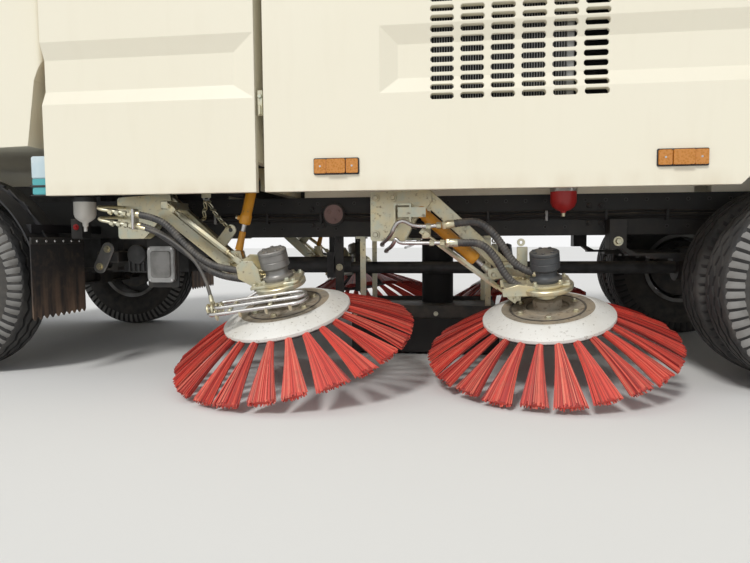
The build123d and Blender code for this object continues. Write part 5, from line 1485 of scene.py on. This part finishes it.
def make_electrics():
    """Cable looms, small pipes and clips along the rail."""
    s = Shape("rubber")
    for z, r, y in ((0.742, 0.01, -0.414), (0.728, 0.006, -0.408), (0.762, 0.005, -0.407)):
        route = [(-1.3 + 0.26 * k, y, z + (0.006 if k % 2 else -0.006)) for k in range(12)]
        s.use("rubber").tube(spaced(smooth_line(route), 0.03), r, 8)
    for k in range(10):
        x = -1.2 + 0.29 * k
        s.use("galvanised" if k % 3 == 0 else "plastic").block(
            (0.014, 0.026, 0.052), (x, -0.411, 0.742), 0.002,
        )
    return s


dress("radiator", make_radiator(), slot="motor_grey")
marker = make_marker_lamp()
for spot, body, x, z in (
    (1, "vent_SIDE", -0.405, 0.93), (2, "vent_SIDE", 0.944, 0.936), (3, "hopper", 2.6, 1.08),
):
    dress(f"marker_lamp_{spot}", marker, body, "lamp_lens", at=upright(x, -1.0995, z))
dress("rail_face", make_rail_face())
dress("buzzer", make_buzzer(), sides=LEFT_ONLY)
dress("accumulator", make_accumulator(), sides=LEFT_ONLY)
dress("washer_bottle", make_bottle(), slot="black_plastic", sides=LEFT_ONLY)
dress("float_chamber", make_canister(), slot="black_plastic", sides=LEFT_ONLY)
dress("relay_boxes", make_left_boxes(), sides=LEFT_ONLY)
dress("chain_hook", make_chain_hook(), slot="zinc_steel")
dress("nozzle_trim", make_nozzle_trim())
dress("panel_latch", make_latch(), slot="zinc_steel")
dress("mud_flap", make_flap_piece(), slot="tyre_rubber")
dress("rear_fittings", make_rear_details(), slot="axle_black")
dress("rail_looms", make_electrics(), slot="black_plastic")


# Wheels: tyres with grooves, ribs and lugs, nuts and a bright rim edge.
SECTIONS = 192
TREAD_RADIUS = 0.4298
GROOVE_RADIUS = 0.416
ZIGZAG = (0, 1, 2, 3, 2, 1)
SECTION_LOOKS = [
    *["tyre"] * 9, *["lug"] * 3, *["tread"] * 2, *["rubber"] * 3, "tread", *["rubber"] * 3,
    "tread", *["rubber"] * 3, *["tread"] * 2, *["lug"] * 3, *["tyre"] * 9,
]


def tyre_section(k):
    """Points (across, radius) over one tyre, at section k of its turn."""
    wave, other = (0.0055 * (ZIGZAG[n % 6] - 1.5) for n in (k, k + 3))
    lug = 0.0075 if k % 3 == 2 else 0.0
    wall = [
        (0.086, 0.2155), (0.092, 0.236), (0.104, 0.252), (0.113, 0.276), (0.1155, 0.284),
        (0.1155, 0.29), (0.1165, 0.293), (0.1172, 0.33), (0.116, 0.352), (0.1165 - lug, 0.36),
        (0.1135 - lug, 0.392), (0.106 - lug, 0.414 - lug), (0.096, 0.4235 - lug), (0.088, 0.4275),
    ]
    rib = [(0.058 + wave, 0.4292), (0.055 + wave, GROOVE_RADIUS), (0.044 + wave, GROOVE_RADIUS)]
    rib.append((0.041 + wave, TREAD_RADIUS))
    centre = [(0.0095 + other, TREAD_RADIUS), (0.007 + other, GROOVE_RADIUS)]
    centre += [(-0.007 + other, GROOVE_RADIUS), (-0.0095 + other, TREAD_RADIUS)]
    far_rib = [(2 * wave - y, r) for y, r in rib[::-1]]
    return wall + rib + centre + far_rib + [(-y, r) for y, r in wall[::-1]]


def add_tyre(s, x, y, lug_look="lug"):
    """One tyre on an axle along y, centred at (x, y). lug_look is the look of its shoulder lugs; a darker
    one is painted shade.
    """
    rings = []
    for k in range(SECTIONS):
        turn = tau * k / SECTIONS
        ring = []
        for across, r in tyre_section(k):
            ring.append(s.mesh.verts.new((x + r * sin(turn), y + across, AXLE_Z + r * cos(turn))))
        rings.append(ring)
    for k, (low, high) in enumerate(zip(rings, rings[1:] + rings[:1])):
        for n, look in enumerate(SECTION_LOOKS):
            if look == "lug":
                look = "rubber" if k % 3 == 2 else lug_look
            s.use(look).face((low[n], low[n + 1], high[n + 1], high[n]))
        s.use("tyre").face((low[-1], low[0], high[0], high[-1]))


def make_wheel_trim(x, y, radius, face_y, cap_y, cap_radius):
    """Wheel nuts with their studs, and the rim's worn bright edge."""
    s = Shape("rim")
    for up, along in circle(6, radius, 0.5):
        spot = (x + along, face_y, AXLE_Z + up)
        s.use("rim").bolt(spot, 0.0165)
        s.use("bright").lathe(((0, 0.034), (0.008, 0.034), (0.0085, 0.02)), axes(spot, LEFT), 10)
    s.use("bright").lathe(
        ((0.2272, 0), (0.2272, 0.0025), (0.2215, 0.0025), (0.2215, 0)),
        outward(x, y, AXLE_Z), 96, capped=False,
    )
    s.use("cast").lathe(
        ((cap_radius, 0), (cap_radius, 0.004), (cap_radius * 0.8, 0.008), (0, 0.008)),
        outward(x, cap_y, AXLE_Z), 32,
    )
    return s


front_tyre, rear_pair = Shape("tyre"), Shape("tyre")
add_tyre(front_tyre, FRONT_AXLE_X, -0.88)
add_tyre(rear_pair, REAR_AXLE_X, -0.975)
# The inner tyre's lugs take the darker tread look: painted shade between the pair.
add_tyre(rear_pair, REAR_AXLE_X, -0.705, "tread")
front_trim = make_wheel_trim(FRONT_AXLE_X, -0.98, 0.085, -0.9, -0.975, 0.058)
rear_trim = make_wheel_trim(REAR_AXLE_X, -1.075, 0.115, -0.852, -1.01, 0.053)
for end, tyre, trim, axle, node in (
    ("front", front_tyre, front_trim, "wheel_front", "front_tyre"),
    ("rear", rear_pair, rear_trim, "wheels_rear", "rear_tyres"),
):
    dress(f"treaded_tyre_{end}", tyre, f"{axle}_SIDE", "tyre_rubber", f"{node}_SIDE")
    dress(f"wheel_nuts_{end}", trim, f"{axle}_SIDE", "rim_grey")


# Cab, rear end and roof.
def frame_loop(s, outline, width, thick, at):
    """A flat band round an outline of (x, y) points, pulled along the frame's z."""
    middle = sum((Vector(p) for p in outline), Vector((0, 0))) / len(outline)
    inner, outer = [], []
    for p in outline:
        p = Vector(p)
        ahead = (p - middle).normalized()
        inner.append(p - ahead * width * 0.5)
        outer.append(p + ahead * width * 0.5)
    rings = []
    for i, o in zip(inner, outer):
        spots = ((*i, 0), (*o, 0), (*o, thick), (*i, thick))
        rings.append([s.mesh.verts.new(at @ Vector(v)) for v in spots])
    s.rings(rings, closed=True)


def make_door_trim():
    """Window seal, handle with its recess and lock, pressed rib and step edge of a left door."""
    s = Shape("rubber")
    window = [(-3.215, 1.5), (-2.31, 1.5), (-2.31, 2.16), (-3.11, 2.16)]
    frame_loop(s, window, 0.024, 0.0045, outward(0, -1.0195, 0))
    s.use("plastic").prism(rounded(0.19, 0.072, 0.016), 0.003, outward(-2.4, DOOR_FACE, 1.33), 0.001)
    s.prism(rounded(0.15, 0.024, 0.01), 0.02, outward(-2.4, -1.02, 1.34), 0.006, 2)
    s.use("bright").lathe(((0, 0.004), (0.009, 0.004), (0.011, 0)), outward(-2.4, -1.021, 1.308), 18)
    s.use("cream").prism(
        ((-3.205, 1.145), (-2.3, 1.175), (-2.3, 1.205), (-3.205, 1.175)),
        0.006, outward(0, DOOR_FACE, 0), 0.003, 2,
    )
    s.use("plastic").prism(
        ((-3.2, 0.86), (-2.96, 0.86), (-2.93, 0.9), (-3.2, 0.9)), 0.006, outward(0, DOOR_FACE, 0), 0.002,
    )
    return s


def make_cab_front():
    """Grille, wipers, windscreen seal, marker lights, blank plate and beacon."""
    s = Shape("plastic")
    grille = axes((-3.4935, 0, 1.085), (-1, 0, 0.0167), ACROSS)
    s.prism(rounded(1.56, 0.33, 0.04), 0.002, grille, 0.0005)
    for k in range(6):
        s.use("cast").block((1.48, 0.024, 0.0055), grille @ upright(0, 0.049 * k - 0.1225, 0.001), 0.001)
    s.use("cream").prism(
        rounded(1.48, 0.03, 0.01), 0.003, axes((-3.4885, 0, 1.282), (-1, 0, -0.0167), ACROSS), 0.001,
    )
    slope = Vector((0.105, 0, 0.88)).normalized()
    normal = Vector((-slope.z, 0, slope.x))
    at = axes(Vector((-3.5, 0, 1.32)) + slope * 0.1 + normal * -0.002, normal, LEFT)
    s.use("rubber")
    screen = [(-0.93, 0.005), (0.93, 0.005), (0.93, 0.722), (-0.93, 0.722)]
    frame_loop(s, screen, 0.03, 0.004, at)
    s.use("plastic")
    for pivot in (-0.62, 0.08):
        arm = [
            at @ Vector((pivot, -0.02, 0.004)), at @ Vector((pivot + 0.1, 0.02, 0.006)),
            at @ Vector((pivot + 0.42, 0.12, 0.002)),
        ]
        s.tube(arm, 0.006, 8)
        s.lathe(((0.014, -0.002), (0.014, 0.006), (0, 0.007)), at @ upright(pivot, -0.02, 0), 16)
        s.block(
            (0.54, 0.008, 0.01),
            at @ upright(pivot + 0.36, 0.11, 0) @ Matrix.Rotation(0.16, 4, "Z"), 0.002,
        )
    for y in (-0.62, 0, 0.62):
        s.use("amber").prism(
            rounded(0.09, 0.036, 0.01), 0.028, upright(-3.12, y, 2.385) @ quarter("Z"), 0.006, 2,
        )
    s.use("plastic").block((0.18, 0.62, 0.022), (-2.7, 0, 2.411), 0.006, 2)
    s.use("amber").prism(rounded(0.15, 0.56, 0.06, 6), 0.085, (-2.7, 0, 2.42), 0.022, 3)
    s.use("white_plastic").prism(rounded(0.46, 0.12, 0.008), 0.004, facing(-1, -3.4905, 0, 0.815), 0.001)
    return s


def make_mirror_glass():
    """The reflecting face of a mirror."""
    face = facing(1, -3.3405, -1.205, 1.76)
    return Shape("bright").prism(rounded(0.15, 0.37, 0.024), 0.002, face, 0.0005)


LAMP_Z = 0.52


def make_lamp_units():
    """Head and tail lamps with their housings, in place of the plain blocks."""
    s = Shape("plastic")
    for side in (-1, 1):
        front = facing(-1, NOSE, side * 0.64, LAMP_Z)
        s.use("plastic").prism(rounded(0.28, 0.13, 0.018), 0.003, front, 0.001)
        for x in (-0.075, 0.03):
            s.use("bright").lathe(
                (
                    (0.05, 0.003), (0.05, 0.0065), (0.044, 0.0065),
                    (0.04, 0.0035), (0.018, 0.0035), (0.014, 0.006), (0, 0.006),
                ),
                front @ upright(x * side, 0, 0), 36,
            )
        s.use("clear_lens").prism(
            rounded(0.196, 0.112, 0.016), 0.0015, front @ upright(-0.022 * side, 0, 0.0062), 0.0004,
        )
        s.use("amber").prism(
            rounded(0.048, 0.112, 0.012), 0.005, front @ upright(0.112 * side, 0, 0.003), 0.001,
        )
        rear = facing(1, TAIL, side * 0.86, LAMP_Z)
        s.use("plastic").prism(rounded(0.24, 0.1, 0.012), 0.002, rear, 0.0005)
        for x, width, look in (
            (-0.078, 0.068, "red_lens"), (0, 0.076, "amber"), (0.078, 0.068, "clear_lens"),
        ):
            s.use(look).prism(
                rounded(width, 0.088, 0.008), 0.006, rear @ upright(-x * side, 0, 0.002), 0.0015,
            )
    return s


def make_tailgate_trim():
    """Pressed ribs, seal, catches, drain and blank reflectors on the tailgate."""
    s = Shape("cream")
    for z in (1.25, 1.7, 2.15):
        s.prism(rounded(1.84, 0.15, 0.03), 0.02, facing(1, GATE_BACK - 0.001, 0, z), 0.01, 3)
    s.use("zinc")
    for y in (-0.8, 0.8):
        s.block((0.018, 0.06, 0.15), (GATE_BACK + 0.009, y, 0.975), 0.004)
        s.lathe(((0.018, 0), (0.018, 0.016), (0, 0.018)), axes((GATE_BACK + 0.016, y, 1.015), REAR), 20)
        s.block((0.012, 0.022, 0.12), (GATE_BACK + 0.026, y, 0.985), 0.004)
    s.use("plastic").lathe(
        ((0.07, 0), (0.072, 0.014), (0.052, 0.02), (0.052, 0.034), (0.044, 0.04), (0, 0.04)),
        axes((GATE_BACK, -0.42, 0.99), REAR), 36,
    )
    for y in (-0.93, 0.93):
        s.use("red_lens").prism(rounded(0.06, 0.18, 0.008), 0.006, facing(1, GATE_BACK, y, 1.48), 0.002)
    s.use("rubber")
    for y in (-1.085, 1.085):
        s.block((0.008, 0.012, 1.64), (3.387, y, 1.74), 0.002)
    s.use("bright")
    line = [
        (GATE_BACK + 0.004, -0.3, 1.0), (GATE_BACK + 0.034, -0.3, 1.0), (GATE_BACK + 0.04, -0.29, 1.0),
        (GATE_BACK + 0.04, 0.29, 1.0), (GATE_BACK + 0.034, 0.3, 1.0), (GATE_BACK + 0.004, 0.3, 1.0),
    ]
    s.tube(spaced(smooth_line(line), 0.01), 0.009, 12)
    return s


def make_rear_bar_trim():
    """Blank number plate and reflector strips on the rear bar."""
    s = Shape("white_plastic").prism(
        rounded(0.44, 0.12, 0.008), 0.003, facing(1, 3.4915, -0.42, 0.52), 0.001,
    )
    for y in (0.3, 0.48):
        s.use("red_lens").prism(rounded(0.12, 0.05, 0.008), 0.004, facing(1, 3.4915, y, 0.52), 0.001)
    return s


def make_housing_roof():
    """Water hatch, exhaust and lifting eyes on the fixed roofs."""
    s = Shape("cream").lathe(
        ((0.23, -0.005), (0.235, 0.012), (0.21, 0.03), (0.06, 0.042), (0, 0.042)), (-1.22, 0, ROOF), 48,
    )
    s.use("zinc")
    for x, y in circle(4, 0.195, 0.5):
        s.bolt((-1.22 + x, y, 2.679), 0.012, UP)
    s.use("cast").lathe(
        ((0.062, -0.005), (0.062, 0.13), (0.056, 0.13), (0.054, 0.06), (0, 0.06)), (0.9, -0.55, ROOF), 36,
    )
    s.lathe(((0.1, -0.004), (0.1, 0.008), (0.066, 0.014)), (0.9, -0.55, ROOF), 36)
    s.use("plastic").block((0.62, 0.9, 0.03), (0.15, 0.25, 2.66), 0.008, 2)
    for k in range(13):
        s.block((0.56, 0.03, 0.01), (0.15, -0.11 + 0.06 * k, 2.677), 0.003)
    s.use("zinc")
    for x in (-1.6, -0.85, -0.6, 1.15):
        for y in (-0.85, 0.85):
            s.ring(0.017, 0.03, 0.006, axes((x, y, 2.676), ACROSS), 24)
            s.block((0.07, 0.03, 0.008), (x, y, 2.651), 0.002)
    return s


def make_hopper_roof():
    """Inspection hatch and stiffeners on the hopper's roof, inside its height."""
    s = Shape("cream")
    for x in (1.56, 2.05, 2.54, 3.03):
        s.block((0.06, 1.84, 0.018), (x, 0, 2.786), 0.006, 2)
    s.use("plastic").prism(rounded(0.36, 0.42, 0.04), 0.02, (2.295, 0, 2.779), 0.006, 2)
    s.use("zinc")
    for y in (-0.15, 0.15):
        s.block((0.05, 0.03, 0.008), (2.47, y, 2.8), 0.002)
    return s


def make_hopper_sides():
    """Bolted catch plates at the hopper's front and rear edges."""
    s = Shape("zinc")
    for x in (1.42, 3.3):
        s.block((0.06, 0.005, 0.12), (x, -1.1015, 1.9), 0.002)
        for dz in (-0.04, 0.04):
            s.bolt((x, -1.104, 1.9 + dz), 0.008)
    return s


def make_tank_trim():
    """Straps, cap and step on the fuel tank, on the truck's right."""
    s = Shape("bright")
    for x in (2.35, 2.83):
        outline = rounded(0.446, 0.406, 0.083, 6)
        at = facing(1, x - 0.022, 0.76, 0.62)
        ring = []
        for depth in (0, 0.044):
            ring.append([s.mesh.verts.new(at @ Vector((px, py, depth))) for px, py in outline])
        s.use("bright").rings(ring, capped=False)
        s.use("zinc").bolt((x, 0.985, 0.78), 0.01, ACROSS)
    s.use("plastic").lathe(
        ((0.05, 0), (0.052, 0.008), (0.052, 0.03), (0.044, 0.036), (0, 0.036)),
        axes((2.59, 0.76, 0.819), UP), 32,
    )
    s.use("tank").lathe(((0.03, 0), (0.03, 0.012), (0, 0.012)), axes((2.3, 0.979, 0.56), ACROSS), 24)
    return s


def make_battery_trim():
    """Lid, clamps and vents on the battery box, on the truck's left."""
    s = Shape("plastic").block((0.58, 0.44, 0.03), (2.52, -0.74, 0.806), 0.01, 2)
    for k in range(6):
        s.block((0.36, 0.006, 0.012), (2.52, -0.952, 0.56 + 0.03 * k), 0.002)
    s.use("zinc")
    for x in (2.3, 2.74):
        s.block((0.03, 0.008, 0.16), (x, -0.954, 0.73), 0.002)
        s.bolt((x, -0.956, 0.7), 0.009)
    return s


def make_gap_panel():
    """Tan inner sheet that closes the gap between the cab and the front housing."""
    s = Shape("tan").block((0.034, 0.1, 1.04), (-1.719, -0.962, 1.83), 0.003)
    s.block((0.03, 0.1, 0.2), (-1.717, -0.962, 1.11), 0.003)
    for z in (1.085, 1.125):
        s.use("rubber").lathe(((0, 0.001), (0.009, 0.001), (0.01, 0)), outward(-1.717, -1.0115, z), 14)
    return s


dress("door_trim", make_door_trim(), "door_SIDE", "black_plastic")
dress("mirror_glass", make_mirror_glass(), "cab", "chrome_rod")
dress("gap_panel", make_gap_panel(), slot="black_plastic")
dress("hopper_catches", make_hopper_sides(), "hopper", "zinc_steel")
make_cab_front().piece("cab_front_trim", "cab", "black_plastic")
make_seat_pads().piece("seat_pads", "cab", "seat_fabric")
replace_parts(make_lamp_units().piece("lamp_units", "chassis", "lamp_lens"), "lamps")
make_tailgate_trim().piece("tailgate_trim", "tailgate", "cream_paint")
make_rear_bar_trim().piece("rear_bar_trim", "chassis", "black_plastic")
make_housing_roof().piece("housing_roof_fittings", "chassis", "cream_paint")
make_hopper_roof().piece("hopper_roof_fittings", "hopper", "cream_paint")
make_tank_trim().piece("tank_trim", "chassis", "tank_steel")
make_battery_trim().piece("battery_trim", "chassis", "black_plastic")


# Camera: where the photograph was taken from.
EYE = Vector((0.0656, -3.6021, 0.6312))
YAW, PITCH, ROLL = 0.1249, 0.0695, 0.0069
forward = Vector((-sin(YAW) * cos(PITCH), cos(YAW) * cos(PITCH), -sin(PITCH)))
level = Vector((cos(YAW), sin(YAW), 0))
below = forward.cross(level)
right = level * cos(ROLL) + below * sin(ROLL)
down = below * cos(ROLL) - level * sin(ROLL)
optics = bpy.data.cameras.new("camera")
optics.sensor_width = 36
optics.lens = 29.36
camera = bpy.data.objects.new("camera", optics)
camera.matrix_world = Matrix((right, -down, -forward)).transposed().to_4x4()
camera.matrix_world.translation = EYE
bpy.context.scene.collection.objects.link(camera)
bpy.context.scene.camera = camera

# Floor, sky and lamps.
FLOOR_HALF = 40.0
floor = Shape("floor")
corners = ((-1, -1), (1, -1), (1, 1), (-1, 1))
floor.face([floor.mesh.verts.new((x * FLOOR_HALF, y * FLOOR_HALF, 0)) for x, y in corners])
floor.piece("floor", None, None)

world = bpy.data.worlds.new("studio")
world.use_nodes = True
bpy.context.scene.world = world
tree = world.node_tree
tree.nodes.clear()


def sky(kind, *sources, **values):
    """A node of the sky, with its first inputs linked to the sources."""
    made = tree.nodes.new(kind)
    for key, value in values.items():
        if hasattr(made, key):
            setattr(made, key, value)
        else:
            made.inputs[key].default_value = value
    for source, target in zip(sources, made.inputs):
        tree.links.new(source, target)
    return made.outputs


# Seen directly, in gloss or through glass the sky is white; as a lamp it is softer.
rays = sky("ShaderNodeLightPath")
seen = sky("ShaderNodeMath", rays["Is Camera Ray"], rays["Is Glossy Ray"], operation="MAXIMUM")
seen = sky("ShaderNodeMath", seen[0], rays["Is Transmission Ray"], operation="MAXIMUM")
soft = sky("ShaderNodeBackground", Color=(0.97, 0.985, 1.0, 1), Strength=0.53)
white = sky("ShaderNodeBackground", Color=(1, 1, 1, 1), Strength=0.95)
sky("ShaderNodeOutputWorld", sky("ShaderNodeMixShader", seen[0], soft[0], white[0])[0])

sun = bpy.data.lights.new("sun", "SUN")
sun.energy = 1.78
sun.angle = radians(14)
sun.color = (1.0, 0.985, 0.955)
sun_obj = bpy.data.objects.new("sun", sun)
sun_obj.matrix_world = axes((0, 0, 5), (-0.32, -0.86, 0.92))
bpy.context.scene.collection.objects.link(sun_obj)
bpy.context.scene.view_settings.view_transform = "Standard"

bpy.context.view_layer.update()
